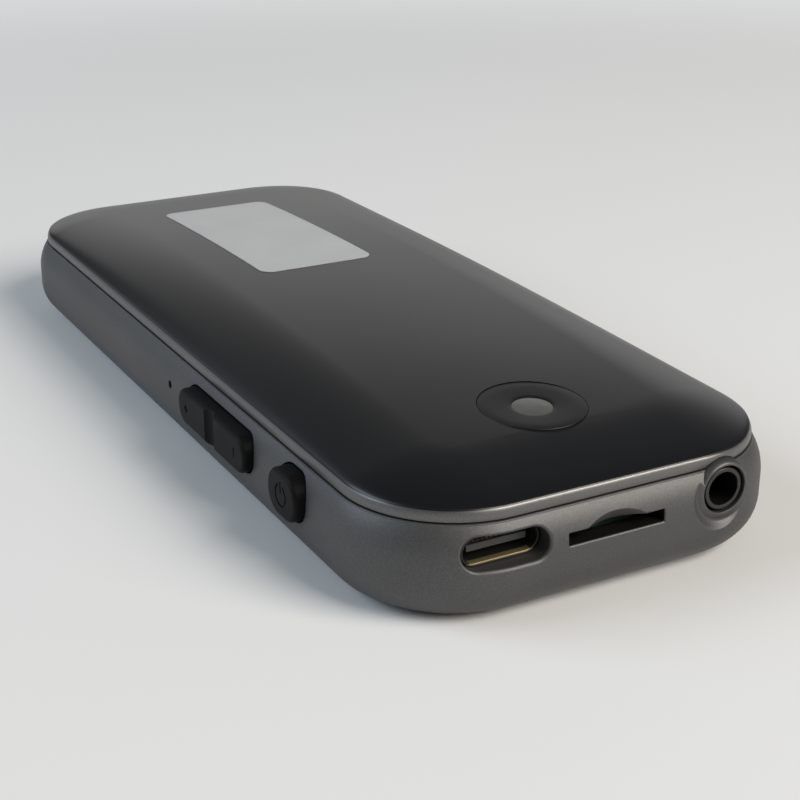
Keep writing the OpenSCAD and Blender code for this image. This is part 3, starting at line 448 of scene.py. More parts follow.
def lathe(section, place, steps=96, closed=False):
    bm = bmesh.new()
    verts = [bm.verts.new((r, 0, z)) for r, z in section]
    edges = [bm.edges.new(pair) for pair in zip(verts, verts[1:])]
    if closed:
        edges.append(bm.edges.new((verts[-1], verts[0])))
    bmesh.ops.spin(bm, geom=edges, cent=(0, 0, 0), axis=(0, 0, 1), angle=2 * math.pi, steps=steps,
                   use_merge=True)
    bmesh.ops.remove_doubles(bm, verts=bm.verts, dist=0.0005)
    bmesh.ops.transform(bm, matrix=place, verts=bm.verts)
    bmesh.ops.recalc_face_normals(bm, faces=bm.faces)
    return bm


print("drawing helpers ready")

# %% [markdown]
# A hole is cut, and a boss is joined on, with Blender's exact Boolean. It works on objects, so the
# two meshes are lent to it for a moment, and both objects go when the result is back in the bmesh.

# %% Cutting and joining
ALONG_Y = Matrix.Rotation(-math.pi / 2, 4, "X")
ALONG_X = Matrix.Rotation(math.pi / 2, 4, "Y")


def cut_away(bm, cutter, operation="DIFFERENCE"):
    body, tool = new_object("being_cut", bm), new_object("cutter", cutter)
    step = body.modifiers.new("cut", "BOOLEAN")
    step.operation, step.solver, step.object = operation, "EXACT", tool
    bpy.context.view_layer.update()
    result = body.evaluated_get(bpy.context.evaluated_depsgraph_get())
    bm.clear()
    bm.from_mesh(result.data)
    cutter.free()
    for thing in (body, tool):
        mesh = thing.data
        bpy.data.objects.remove(thing)
        bpy.data.meshes.remove(mesh)


def join_on(bm, addition):
    cut_away(bm, addition, "UNION")


print("cutting helpers ready")

# %% [markdown]
# ## The back cover
# The cover is one moulding: an upright rim that rounds over at its top, and a dark back that rises
# steeply in a rounded band and then bows gently along its length. On the device the rim has the
# same paint as the back; its pale, frame-like tone is a painted reflection, and the lighter tone at
# its top a painted highlight. It could be sculpted, or subdivided from a coarse cage. Here a flat
# rounded outline is inset again and again, cut across its length, and each point is then lifted to
# the height that the drawing gives for its distance from the outline, so the curve is exact
# everywhere.

# %% Heights of the back
BAND_CURVE = 1.6


def edge_distance(x, y):
    qx, qy = abs(x) - STRAIGHT_X, abs(y) - STRAIGHT_Y
    outside = math.hypot(max(qx, 0), max(qy, 0))
    return CORNER_R - outside - min(max(qx, qy), 0)


def back_height(x, y, inset=0.0):
    u = min(max((edge_distance(x, y) - LIP_INSET) / DOME_W, 0), 1)
    full = (1 - (1 - u) ** BAND_CURVE) ** (1 / BAND_CURVE)
    return LIP_Z + full * (DOME_RISE + DOME_BOW * (1 - (2 * y / BODY_L) ** 2)) - inset


print("top of the back:", round(back_height(0, 0), 2), "mm")

# %% [markdown]
# The rings lie closer together towards the edge, because the back bends most there. The open edge
# is then carried out and down in small steps, which gives the rounded lip and the upright rim.

# %% Cover sheet
ARC_STEPS, CROSS_CUTS = 20, 30
RIM_PROFILE = ((1.52, LIP_Z - 0.02), (1.45, LIP_Z - 0.13), (1.395, LIP_Z - 0.28),
               (1.35, LIP_Z - 0.48), (1.32, LIP_Z - 0.7), (RIM_INSET, RIM_Z + 0.08),
               (RIM_INSET + 0.03, RIM_Z - 0.04))


def cover_sheet(z_drop, first_inset, rings):
    sheet = bmesh.new()
    top = rounded_face(sheet, BODY_W - 2 * first_inset, BODY_L - 2 * first_inset,
                       CORNER_R - first_inset, 0, ARC_STEPS)
    reach = LIP_INSET + DOME_W - first_inset
    last = 0.0
    for k in range(1, rings + 1):
        here = reach * (k / rings) ** 2.0
        bmesh.ops.inset_region(sheet, faces=[top], thickness=here - last, depth=0,
                               use_even_offset=True, use_boundary=True)
        last = here
    for k in range(CROSS_CUTS + 1):
        slice_at(sheet, (0, STRAIGHT_Y * (2 * k / CROSS_CUTS - 1), 0), (0, 1, 0))
    for vert in sheet.verts:
        vert.co.z = back_height(vert.co.x, vert.co.y, z_drop)
    return sheet


def open_edges(bm):
    return [e for e in bm.edges if len(e.link_faces) == 1]


shell = cover_sheet(0.0, LIP_INSET + 0.1, 16)
edge = open_edges(shell)
for inset, z in RIM_PROFILE:
    edge = edges_of(bmesh.ops.extrude_edge_only(shell, edges=edge))
    for vert in {v for e in edge for v in e.verts}:
        spread(vert, (STRAIGHT_X, STRAIGHT_Y), CORNER_R - inset)
        vert.co.z = z
print("cover's outer sheet:", len(shell.faces), "faces")

# %% [markdown]
# The sheet gets its wall when its open edge, under the rim, is bridged to an inner copy of the
# back. The tongue that drops into the frame, its snap hooks and the boss for the camera are joined
# on. The camera's seat and the arch over the audio jack's collar are then cut out of the closed
# shell.

# %% Wall, tongue and hooks
COVER_WALL = 1.4
TONGUE_INSET, TONGUE_WALL, TONGUE_DROP, TONGUE_H = 2.5, 0.9, 0.7, 1.0
HOOKS = [(1, y) for y in (-40, -40 / 3, 40 / 3, 40)] + [(-1, y) for y in (40 / 3, 40)]
HOOK_ROOT, HOOK_HALF, HOOK_LOW = 21.6, 2.5, 8.8
HOOK_STEPS = ((22.4, 10.6), (22.85, 9.4))

inner = cover_sheet(COVER_WALL, LIP_INSET + 1.9, 8)
for face in inner.faces:
    face.normal_flip()
scrap = bpy.data.meshes.new("inner_sheet")
inner.to_mesh(scrap)
inner.free()
shell.from_mesh(scrap)
bpy.data.meshes.remove(scrap)
bmesh.ops.bridge_loops(shell, edges=open_edges(shell))
bmesh.ops.recalc_face_normals(shell, faces=shell.faces)

tongue = bmesh.new()
band = rounded_face(tongue, BODY_W - 2 * TONGUE_INSET, BODY_L - 2 * TONGUE_INSET,
                    CORNER_R - TONGUE_INSET, PART_Z - TONGUE_DROP, ARC_STEPS)
bmesh.ops.inset_region(tongue, faces=[band], thickness=TONGUE_WALL, depth=0, use_even_offset=True,
                       use_boundary=True)
bmesh.ops.delete(tongue, geom=[band], context="FACES")
thicken(tongue, tongue.faces[:], (0, 0, TONGUE_H))
bmesh.ops.recalc_face_normals(tongue, faces=tongue.faces)
join_on(shell, tongue)


def wall_box(side, near, far, y, half, bottom, top):
    low, high = sorted((side * near, side * far))
    return box_tool((low, y - half, bottom), (high, y + half, top))


for side, y in HOOKS:
    for reach, top in HOOK_STEPS:
        join_on(shell, wall_box(side, HOOK_ROOT, reach, y, HOOK_HALF, HOOK_LOW, top))
print("cover with tongue:", len(shell.faces), "faces")

# %% [markdown]
# The seat is tipped with the bow of the back, so that the ring lies nearly flush all round. After
# the cuts, each face gets its finish from where it lies: dark on the back, a pale painted
# reflection on the rim, and a lighter painted highlight on the lip between the two.

# %% Camera seat and jack arch
BOSS_R, SEAT_R, BARREL_R, ARCH_R = 7.4, 5.88, 4.8, 3.225
tilt = 0.75 * math.atan(8 * DOME_BOW * -CAMERA_Y / BODY_L ** 2)
camera_place = (Matrix.Translation((0, CAMERA_Y, back_height(0, CAMERA_Y)))
                @ Matrix.Rotation(tilt, 4, "X"))
join_on(shell, rod_tool(BOSS_R, 3.6, camera_place @ Matrix.Translation((0, 0, -2.4)), 96))
cut_away(shell, rod_tool(SEAT_R, 6, camera_place @ Matrix.Translation((0, 0, 2.1)), 96))
cut_away(shell, rod_tool(BARREL_R, 8, camera_place, 64))
cut_away(shell, rod_tool(ARCH_R, 6, Matrix.Translation((JACK_X, -END_Y, JACK_Z)) @ ALONG_Y, 96))
# Rim faces get the pale painted reflection, faces at the top of the rim the painted highlight.
for face in shell.faces:
    top = max(v.co.z for v in face.verts)
    outward = edge_distance(*face.calc_center_median().xy) < RIM_INSET + 0.35
    if outward and top < LIP_Z + 0.02:
        face.material_index = 1 if top < LIP_Z - 0.1 else 2
finish_piece(shell, "back_cover_shell", [cover_satin, rim_painted_reflection, rim_painted_highlight],
             replaces=("back_cover",), crease=28)

# %% [markdown]
# ## The metal frame
# The frame is one ring of the same section all the way round: a rounded foot, an upright side, a
# shoulder that turns in, a ledge for the glass, and an open middle. It could be a curve with a
# bevel object. Here the section is drawn once as a loop of edges, pushed along the straight runs
# in small steps and spun round the four corners, because that gives even quads, and the ports are
# cut cleanly from even quads.

# %% Frame section
WALL, GLASS_EDGE, LEDGE, GLASS_Z, LEDGE_Z = 2.4, 4.0, 5.9, 1.2, 3.0
FOOT_R, SIDE_Z, SHOULDER_Z, PART_INSET = 4.5, 4.65, 7.0, 1.3
SHOULDER_R = ((PART_Z - SHOULDER_Z) ** 2 + PART_INSET ** 2) / (2 * PART_INSET)
EDGE_R = 0.16


def side_inset(z):
    if z > SHOULDER_Z:
        return SHOULDER_R - math.sqrt(SHOULDER_R ** 2 - (z - SHOULDER_Z) ** 2)
    return FOOT_R - math.sqrt(FOOT_R ** 2 - max(SIDE_Z - z, 0) ** 2)


def frame_section():
    points = [(LEDGE, GLASS_Z), (GLASS_EDGE, GLASS_Z)]
    start = math.acos((FOOT_R - GLASS_EDGE) / FOOT_R)
    for k in range(13):
        turn = start * (1 - k / 12)
        points.append((FOOT_R - FOOT_R * math.cos(turn), SIDE_Z - FOOT_R * math.sin(turn)))
    full = math.asin((PART_Z - SHOULDER_Z) / SHOULDER_R)
    for k in range(10):
        turn = full * k / 10
        points.append((SHOULDER_R - SHOULDER_R * math.cos(turn),
                       SHOULDER_Z + SHOULDER_R * math.sin(turn)))
    last = side_inset(PART_Z - EDGE_R)
    for a, b in ((0, 0), (0.09, 0.62), (0.36, 0.88), (0.8, 1.0)):
        points.append((last + EDGE_R * a, PART_Z - EDGE_R * (1 - b)))
    return points + [(WALL, PART_Z), (WALL, LEDGE_Z), (LEDGE, LEDGE_Z)]


print("frame section:", len(frame_section()), "points")

# %% [markdown]
# The section goes round in four runs, each a push along a straight side and a turn at a corner.
# The two ends meet, merging the doubles closes the ring, and the print shows that it is closed.

# %% Frame ring
ring = bmesh.new()
loop = [ring.verts.new((SIDE_X - inset, -STRAIGHT_Y, z)) for inset, z in frame_section()]
front = [ring.edges.new((a, b)) for a, b in zip(loop, loop[1:] + loop[:1])]


def push(edges, direction, length, steps):
    for k in range(steps):
        edges = edges_of(bmesh.ops.extrude_edge_only(ring, edges=edges))
        bmesh.ops.translate(ring, vec=Vector(direction) * length / steps,
                            verts=list({v for e in edges for v in e.verts}))
    return edges


def turn_corner(edges, x, y):
    made = bmesh.ops.spin(ring, geom=edges, cent=(x, y, 0), axis=(0, 0, 1), steps=ARC_STEPS,
                          angle=math.pi / 2, use_duplicate=False)
    return edges_of(made, "geom_last")


for direction, length, steps, x, y in (
        ((0, 1, 0), 2 * STRAIGHT_Y, 40, STRAIGHT_X, STRAIGHT_Y),
        ((-1, 0, 0), 2 * STRAIGHT_X, 16, -STRAIGHT_X, STRAIGHT_Y),
        ((0, -1, 0), 2 * STRAIGHT_Y, 60, -STRAIGHT_X, -STRAIGHT_Y),
        ((1, 0, 0), 2 * STRAIGHT_X, 24, STRAIGHT_X, -STRAIGHT_Y)):
    front = turn_corner(push(front, direction, length, steps), x, y)
bmesh.ops.remove_doubles(ring, verts=ring.verts, dist=0.001)
bmesh.ops.recalc_face_normals(ring, faces=ring.faces)
print("frame ring:", len(ring.faces), "faces, open edges:",
      sum(len(e.link_faces) != 2 for e in ring.edges))

# %% [markdown]
# The openings are cut with simple tools, as a mill would: an oblong for the USB-C port, a straight
# slot with a slanted round scoop over it, a shallow dish and a collar for the audio jack, rounded
# pockets for the keys, and drilled holes for the microphone, the sound and the screws. A sharp edge
# on metal looks fake because it never catches light. A Bevel modifier stumbles over the many short
# edges that cuts leave, so each tool carries its own flare, a quarter round that widens towards
# the outside and follows the curved wall. The cut then leaves the softened lip by itself.

# %% Cutting tools
def end_wall(x, z):
    side = max(abs(x) - STRAIGHT_X, 0)
    return -STRAIGHT_Y - math.sqrt((CORNER_R - side_inset(z)) ** 2 - side ** 2)


def on_port_end(u, v, depth):
    return Vector((u, end_wall(u, v) + depth, v))


def on_key_side(u, v, depth):
    return Vector((-SIDE_X + side_inset(v) + depth, u, v))


def lipped_tool(u, v, w, h, radius, lip, reach, wall_point, cuts=12):
    tool = bmesh.new()
    face = rounded_face(tool, w, h, radius, 0, 12)
    long_edges = [e for e in tool.edges if e.calc_length() > 0.6]
    bmesh.ops.bisect_edges(tool, edges=long_edges, cuts=cuts)
    core = (w / 2 - radius, h / 2 - radius)
    turns = [math.radians(a) for a in (90, 80, 70, 60, 50, 40, 30, 20)]
    sections = [(lip * (1 - math.sin(t)), lip * (1 - math.cos(t))) for t in turns]
    last_offset, last_depth = sections[-1]
    sections.append((last_offset + 0.5 * lip, last_depth - 0.5 * lip * math.tan(turns[-1])))
    sections.append((sections[-1][0], -1.2))
    top = face
    for vert in tool.verts:
        vert.co.z = reach
    for offset, depth in sections:
        last, made = top, bmesh.ops.extrude_face_region(tool, geom=[top])["geom"]
        top = next(g for g in made if isinstance(g, bmesh.types.BMFace))
        if last is not face:
            bmesh.ops.delete(tool, geom=[last], context="FACES_ONLY")
        for vert in top.verts:
            spread(vert, core, radius + offset)
            vert.co.z = depth
    for vert in tool.verts:
        vert.co = wall_point(u + vert.co.x, v + vert.co.y, vert.co.z)
    bmesh.ops.recalc_face_normals(tool, faces=tool.faces)
    if tool.calc_volume(signed=True) < 0:
        bmesh.ops.reverse_faces(tool, faces=tool.faces)
    return tool


USB_X, USB_Z, USB_OPEN = -12.6, 7.95, (9.2, 3.35, 1.67)
CARD_X, CARD_Z, SLOT_W, SLOT_H = -0.2, 7.6, 11.4, 1.3
SCOOP_W, SCOOP_H, SCOOP_SLANT = 6.0, 1.15, math.radians(60)
KEYS = {"power": (-37.3, 6.8, 5.2), "volume": (-18.25, 19.1, 4.4)}
print("wall at the USB-C port:", round(end_wall(USB_X, USB_Z), 2), "mm")

# %% [markdown]
# The dish, the collar and the mouth of the audio jack are turned shapes on one axis. The scoop is
# a thick disc laid back at a slant and trimmed, so that it stays within the width of the slot.

# %% Cut the port end
jack_mouth = Matrix.Translation((JACK_X, -END_Y, JACK_Z)) @ ALONG_Y
dish = [(0, -0.6), (4.8, -0.6), (4.62, 0), (4.38, 0.01), (4.23, 0.07), (4.09, 0.18), (3.95, 0.31),
        (3.81, 0.45), (3.67, 0.58), (3.55, 0.66), (3.43, 0.69), (3.3, 0.68), (3.15, 0.62),
        (2.98, 0.55), (2.8, 0.51), (2.7, 0.499), (0, 0.499)]
collar = [(0, 0.5), (2.7, 0.5), (2.8, 0.53), (2.9, 0.61), (2.99, 0.74), (3.06, 0.92), (3.11, 1.12),
          (3.14, 1.35), (3.15, 1.6), (3.15, 2.3), (0, 2.3)]
mouth = [(0, -1.5), (2.65, -1.5), (2.65, 0.48), (2.60, 0.54), (2.58, 0.6), (2.575, 0.68),
         (2.575, 5.5), (0, 5.5)]
ROOM_HALF, ROOM_FRONT, ROOM_BACK, ROOM_TOP = 3.35, -57.45, -44.5, 11.8
cut_away(ring, lathe(dish, jack_mouth, 128))
join_on(ring, lathe(collar, jack_mouth, 128))
cut_away(ring, lathe(mouth, jack_mouth, 128))
cut_away(ring, box_tool((JACK_X - ROOM_HALF, ROOM_FRONT, LEDGE_Z),
                        (JACK_X + ROOM_HALF, ROOM_BACK, ROOM_TOP)))
cut_away(ring, lipped_tool(USB_X, USB_Z, *USB_OPEN, lip=0.4, reach=4.5, wall_point=on_port_end))
cut_away(ring, lipped_tool(CARD_X, CARD_Z, SLOT_W, SLOT_H, radius=0.12, lip=0.2, reach=3.4,
                           wall_point=on_port_end, cuts=6))

rise_s = SCOOP_H * math.cos(SCOOP_SLANT)
scoop_r = ((SCOOP_W / 2) ** 2 + rise_s ** 2) / (2 * rise_s)
scoop_z = CARD_Z + SLOT_H / 2 + SCOOP_H
scoop = rod_tool(scoop_r, 6, Matrix.Translation((CARD_X, -END_Y + side_inset(scoop_z), scoop_z))
                 @ Matrix.Rotation(-SCOOP_SLANT, 4, "X")
                 @ Matrix.Translation((0, 0, -scoop_r)) @ ALONG_Y, 160)
scoop_half = SLOT_W / 2 - 0.02
for point, normal in (((0, 0, CARD_Z), (0, 0, -1)), ((0, -58, 0), (0, 1, 0)),
                      ((CARD_X - scoop_half, 0, 0), (-1, 0, 0)),
                      ((CARD_X + scoop_half, 0, 0), (1, 0, 0))):
    cut = slice_at(scoop, point, normal, clear_outer=True)
    bmesh.ops.holes_fill(scoop, edges=edges_of(cut, "geom_cut"))
cut_away(ring, scoop)
print("port end cut:", len(ring.faces), "faces")

# %% [markdown]
# Keys need a little room all round, so each pocket is a clearance wider than its key. The hooks
# of the cover snap into short pockets in the inner wall, and the screws bite into blind holes in
# the ledge.

# %% Cut the key pockets and the small holes
KEY_ROOM, KEY_CORNER = 0.15, 2.5
SOUND_HOLES, SOUND_PITCH, SOUND_Z, SMALL_R = 7, 2.2, 6.6, 0.6
MICROPHONE_Y, MICROPHONE_R, SCREW_INSET, SCREW_Z = -3.4, 0.5, 4.15, 3.5


def key_corner(height):
    return min(KEY_CORNER, height / 2 - 0.1)


for y, length, height in KEYS.values():
    cut_away(ring, lipped_tool(y, KEY_Z, length + 2 * KEY_ROOM, height + 2 * KEY_ROOM,
                               key_corner(height) + KEY_ROOM, lip=0.14, reach=5.0,
                               wall_point=on_key_side, cuts=1))
cut_away(ring, rod_tool(MICROPHONE_R, 5,
                        Matrix.Translation((-SIDE_X + 1.2, MICROPHONE_Y, KEY_Z)) @ ALONG_X))
for k in range(SOUND_HOLES):
    x = SOUND_PITCH * (k - SOUND_HOLES // 2)
    cut_away(ring, rod_tool(SMALL_R, 6, Matrix.Translation((x, END_Y - 1, SOUND_Z)) @ ALONG_Y))
for side, y in HOOKS:
    cut_away(ring, wall_box(side, 22.5, 23.05, y, HOOK_HALF + 0.3, HOOK_LOW - 0.2, 9.8))
turned = (CORNER_R - SCREW_INSET) / math.sqrt(2)
for side in (-1, 1):
    for x, y in ((SIDE_X - SCREW_INSET, -END_Y + CORNER_R + 2),
                 (STRAIGHT_X + turned, STRAIGHT_Y + turned)):
        cut_away(ring, rod_tool(SMALL_R, 4, Matrix.Translation((side * x, y, SCREW_Z))))
# Faces deep inside the card slot get the near-black finish as painted shade.
for face in ring.faces:
    x, y, z = face.calc_center_median()
    in_slot = abs(x - CARD_X) < SLOT_W / 2 + 0.05 and abs(z - CARD_Z) < SLOT_H / 2 + 0.05
    face.material_index = int(in_slot and -57.7 > y > end_wall(x, z) + 0.2)
print("frame after cutting:", len(ring.faces), "faces")
finish_piece(ring, "frame_body", [frame_satin, painted_shade_black],
             replaces=("frame_shell",), crease=14)

# %% [markdown]
# Small parts with few, clean edges can still be softened the usual way, with a Bevel modifier.

# %% Softened edges
def soften(piece, width, steps):
    step = piece.modifiers.new("soft_edges", "BEVEL")
    step.width, step.segments = width * MM, steps
    step.limit_method, step.angle_limit = "ANGLE", math.radians(30)
    step.use_clamp_overlap = True


print("soften ready")

# %% [markdown]
# ## The label
# A paper label lies on the back near the far end and bends with it. It is left bare. It is a
# rounded rectangle cut across into strips, so that it can follow the bow, and lifted onto the back
# by the same height function. Paper is matt, with fibres that show only as a faint mottle, and a
# label that has been in a pocket is a little grey at its edges.

# %% Label
LABEL_X, LABEL_Y, LABEL_W, LABEL_L, LABEL_R = -0.4, 23.8, 15.7, 35.7, 1.6
LABEL_STRIPS, LABEL_TOP, PAPER = 24, 0.07, 0.09
WORN_W, WORN_MOST = 0.9, 0.5
label_paper, tree, bsdf = new_finish("label_paper", specular=0.35)
from_middle = add(tree, "VectorMath", {0: object_coordinates(tree),
                                       1: (LABEL_X * MM, LABEL_Y * MM, 0)}, operation="SUBTRACT")
reach = add(tree, "VectorMath", {0: from_middle.outputs[0]}, operation="ABSOLUTE")
parts = add(tree, "SeparateXYZ", {0: reach.outputs[0]}).outputs
near = [remap(tree, parts[axis], (size / 2 - WORN_W) * MM, size / 2 * MM, 0, WORN_MOST)
        for axis, size in (("X", LABEL_W), ("Y", LABEL_L))]
near_edge = add(tree, "Math", dict(enumerate(near)), operation="MAXIMUM").outputs[0]
clean = drifting(tree, (0.53, 0.54, 0.55), (0.505, 0.515, 0.525), 160.0)
worn = drifting(tree, (0.56, 0.565, 0.575), (0.42, 0.425, 0.435), 900.0)
fibre = place(tree, rolled, Stretch=(700.0, 260.0, 700.0), Height=0.35)
wire(tree, bsdf, {"Base Color": mix_colours(tree, near_edge, clean, worn),
                  "Roughness": rubbed_by_hand(tree, 90.0, 0.62, 0.5), "Normal": fibre["Normal"]})

paper = bmesh.new()
rounded_face(paper, LABEL_W, LABEL_L, LABEL_R, 0, 8)
bmesh.ops.translate(paper, vec=(LABEL_X, LABEL_Y, 0), verts=paper.verts)
for k in range(1, LABEL_STRIPS):
    slice_at(paper, (0, LABEL_Y + LABEL_L * (k / LABEL_STRIPS - 0.5), 0), (0, 1, 0))
for vert in paper.verts:
    vert.co.z = back_height(vert.co.x, vert.co.y) + LABEL_TOP
thicken(paper, paper.faces[:], (0, 0, -PAPER))
finish_piece(paper, "paper_label", [label_paper], replaces=("label",), crease=30)

# %% [markdown]
# ## The camera
# A satin black ring sits in a seat in the back and dips a little towards a pale, domed window. A
# turned part is best drawn as half a section and spun, because the small steps and chamfers that
# catch light are then exact circles.

# %% Ring and window
ring_black = satin("camera_ring_satin", (0.0065, 0.0067, 0.0072), (0.0050, 0.0052, 0.0056), 0.46,
                   0.40, drift_scale=180.0, grain_scale=4200.0, grain_height=0.12, specular=0.32)
# The window's pale tone is partly the glass's own tint and partly painted reflection of the bright
# surroundings.
window_glass = satin("camera_window_glass", (0.086, 0.086, 0.076), (0.069, 0.070, 0.064), 0.36,
                     0.28, drift_scale=900.0, grain_scale=1800.0, grain_height=0.08, coat=0.25,
                     coat_roughness=0.12)
DISH = 0.06
ring_section = [(5.84, -0.9), (5.84, -0.06), (5.80, -0.015), (5.74, 0.0), (4.4, -DISH * 0.5),
                (2.75, -DISH), (2.50, -DISH - 0.02), (2.28, -0.12), (2.2, -0.16), (2.2, -0.42),
                (2.75, -0.42), (2.75, -0.9)]
window_section = [(0, -1.02), (2.72, -1.02), (2.72, -0.44), (2.18, -0.42), (2.18, -0.19),
                  (1.8, -0.165), (1.2, -0.14), (0.6, -0.125), (0, -0.12)]
finish_piece(lathe(ring_section, camera_place, closed=True), "camera_ring_turned", [ring_black],
             replaces=("camera_ring",), crease=24)
finish_piece(lathe(window_section, camera_place), "camera_window_domed", [window_glass],
             replaces=("camera_window",), crease=24)

# %% [markdown]
# ## The side keys
# The power key and the volume rocker are moulded in a dark, matt, slightly rough plastic. Each is
# a rounded pad pushed out of the side: a rounded outline is extruded, its outer edge is bevelled in
# several steps, and the sign is sunk into its face by a tenth of a millimetre. The rocker has a
# valley that a finger finds in the dark, a minus at its near end and a plus at its far end.

# %% Key tools
key_matt = satin("key_matt", (0.0058, 0.0059, 0.0066), (0.0044, 0.0045, 0.0052), 0.60, 0.50,
                 specular=0.12, drift_scale=140.0, grain_scale=3000.0, grain_height=0.35,
                 rub_scale=160.0)
ONTO_SIDE = Matrix.Rotation(-math.pi / 2, 4, "Y")
KEY_BACK, KEY_ROUND, SIGN_DEPTH = 21.9, 0.5, 0.12
STEM_R, STEM_L, STEM_SUNK = 0.8, 1.05, 0.1


def key_pad(y, length, height):
    bm = bmesh.new()
    pad = rounded_face(bm, height, length, key_corner(height), 0, 14)
    depth = -FACE_X - KEY_BACK
    thicken(bm, [pad], (0, 0, depth))
    bmesh.ops.recalc_face_normals(bm, faces=bm.faces)
    rim = [e for e in bm.edges if all(v.co.z > depth - 0.01 for v in e.verts)]
    bmesh.ops.bevel(bm, geom=rim, offset=KEY_ROUND, offset_type="OFFSET", segments=5, profile=0.5,
                    affect="EDGES", material=-1)
    bmesh.ops.transform(bm, matrix=Matrix.Translation((-KEY_BACK, y, KEY_Z)) @ ONTO_SIDE,
                        verts=bm.verts)
    return bm


def join_flange(key, y, half_length, half_height, thickness):
    join_box(key, (-KEY_BACK - thickness, y - half_length, KEY_Z - half_height),
             (-KEY_BACK, y + half_length, KEY_Z + half_height))


def join_stem(key, y):
    middle = -KEY_BACK + STEM_L / 2 - STEM_SUNK
    rod(key, STEM_R, STEM_L, Matrix.Translation((middle, y, KEY_Z)) @ ALONG_X, 24)


def cut_mark(key, y, z, half_y, half_z):
    cut_away(key, box_tool((FACE_X - 1, y - half_y, z - half_z),
                           (FACE_X + SIGN_DEPTH, y + half_y, z + half_z)))


print("key tools ready")

# %% [markdown]
# The power sign is a ring with a gap at its top and a bar in the gap. The ring is made solid first
# and then cut into the key. A flange behind the pad keeps the key from falling out, and a stem
# reaches in to the switch.

# %% Power key
SIGN_OUTER, SIGN_INNER, SIGN_GAP = 1.3, 1.05, 0.42
y, length, height = KEYS["power"]
power = key_pad(y, length, height)
sign = bmesh.new()
bmesh.ops.create_circle(sign, cap_ends=False, segments=48, radius=SIGN_OUTER)
inner_circle = verts_of(bmesh.ops.extrude_edge_only(sign, edges=sign.edges[:]))
bmesh.ops.scale(sign, vec=(SIGN_INNER / SIGN_OUTER, SIGN_INNER / SIGN_OUTER, 1), verts=inner_circle)
middles = [(face, face.calc_center_median()) for face in sign.faces]
gap = [face for face, middle in middles if middle.x > 0 and abs(middle.y) < SIGN_GAP]
bmesh.ops.delete(sign, geom=gap, context="FACES")
thicken(sign, sign.faces[:], (0, 0, 1))
bmesh.ops.recalc_face_normals(sign, faces=sign.faces)
bmesh.ops.transform(sign, matrix=Matrix.Translation((FACE_X + SIGN_DEPTH, y, KEY_Z)) @ ONTO_SIDE,
                    verts=sign.verts)
cut_away(power, sign)
cut_mark(power, y, KEY_Z + 0.85, 0.13, 0.65)
join_flange(power, y, length / 2 + 0.8, height / 2 - 0.2, 0.6)
join_stem(power, y)
finish_piece(power, "power_key", [key_matt], body="power_button",
             replaces=("power_button",), crease=28)

# %% [markdown]
# The rocker is made in the same way. An upright rod cuts its valley, its flange is short, and it
# has two stems, one for each switch.

# %% Volume rocker
VALLEY_R, VALLEY_DEPTH, SIGN_AT, STEM_AT = 2.0, 0.55, 6.9, 6.5
y, length, height = KEYS["volume"]
rocker = key_pad(y, length, height)
valley_place = Matrix.Translation((FACE_X - VALLEY_R + VALLEY_DEPTH, y, KEY_Z))
cut_away(rocker, rod_tool(VALLEY_R, 20, valley_place, 96))
for sign_y, half_y, half_z in ((y - SIGN_AT, 0.12, 0.55), (y + SIGN_AT, 0.12, 0.55),
                               (y + SIGN_AT, 0.55, 0.12)):
    cut_mark(rocker, sign_y, KEY_Z, half_y, half_z)
join_flange(rocker, y, 3, height / 2 + 0.5, 0.55)
join_stem(rocker, y - STEM_AT)
join_stem(rocker, y + STEM_AT)
finish_piece(rocker, "volume_key", [key_matt], body="volume_rocker",
             replaces=("volume_rocker",), crease=28)

# %% [markdown]
# ## Inside the ports
# The ports are small, but the eye goes to them. The USB-C shell is a drawn steel tube, with a dark
# moulded tongue and gold contacts. Its inside is painted dark as shade, and its rolled lower lip is
# painted a warm, light tone as a highlight. Its outline is drawn once and carried along the tube,
# round the lip and back inside. The audio jack is one dark moulding with a softened mouth, and the
# walls of its bore are painted near black as shade. The card slot shows its socket.

# %% Port finishes
# The tube's dark tone is painted shade inside the port, and the lip's warm, light tone is a painted
# highlight.
port_steel_painted_shade = rolled_metal("port_steel_painted_shade", (0.034, 0.033, 0.031), (0.026, 0.025, 0.024), 0.52, 0.42,
                          stretch=(900.0, 60.0, 900.0), metallic=0.6)
lip_painted_highlight = rolled_metal("lip_painted_highlight", (0.24, 0.20, 0.11), (0.19, 0.16, 0.09), 0.50, 0.42,
                          stretch=(60.0, 900.0, 900.0), metallic=0.6)
tongue_black = satin("tongue_black", (0.060, 0.062, 0.060), (0.045, 0.047, 0.046), 0.55, 0.45,
                     drift_scale=500.0, grain_scale=5000.0, grain_height=0.2)
contact_gold = rolled_metal("contact_gold", (0.78, 0.58, 0.26), (0.66, 0.47, 0.19), 0.34, 0.26,
                            stretch=(3000.0, 200.0, 3000.0))
jack_moulding = satin("jack_moulding", (0.022, 0.022, 0.021), (0.017, 0.017, 0.016), 0.46, 0.36,
                      drift_scale=260.0, grain_scale=4200.0, grain_height=0.2)
socket_black = satin("socket_black", (0.040, 0.044, 0.042), (0.028, 0.031, 0.030), 0.5, 0.42,
                     drift_scale=300.0, grain_scale=4200.0, grain_height=0.2)
print("port finishes ready")

# %% [markdown]
# The steel tube starts as one loop of edges. Each step of its profile says how far the next loop
# lies inside the outline and how deep it is.

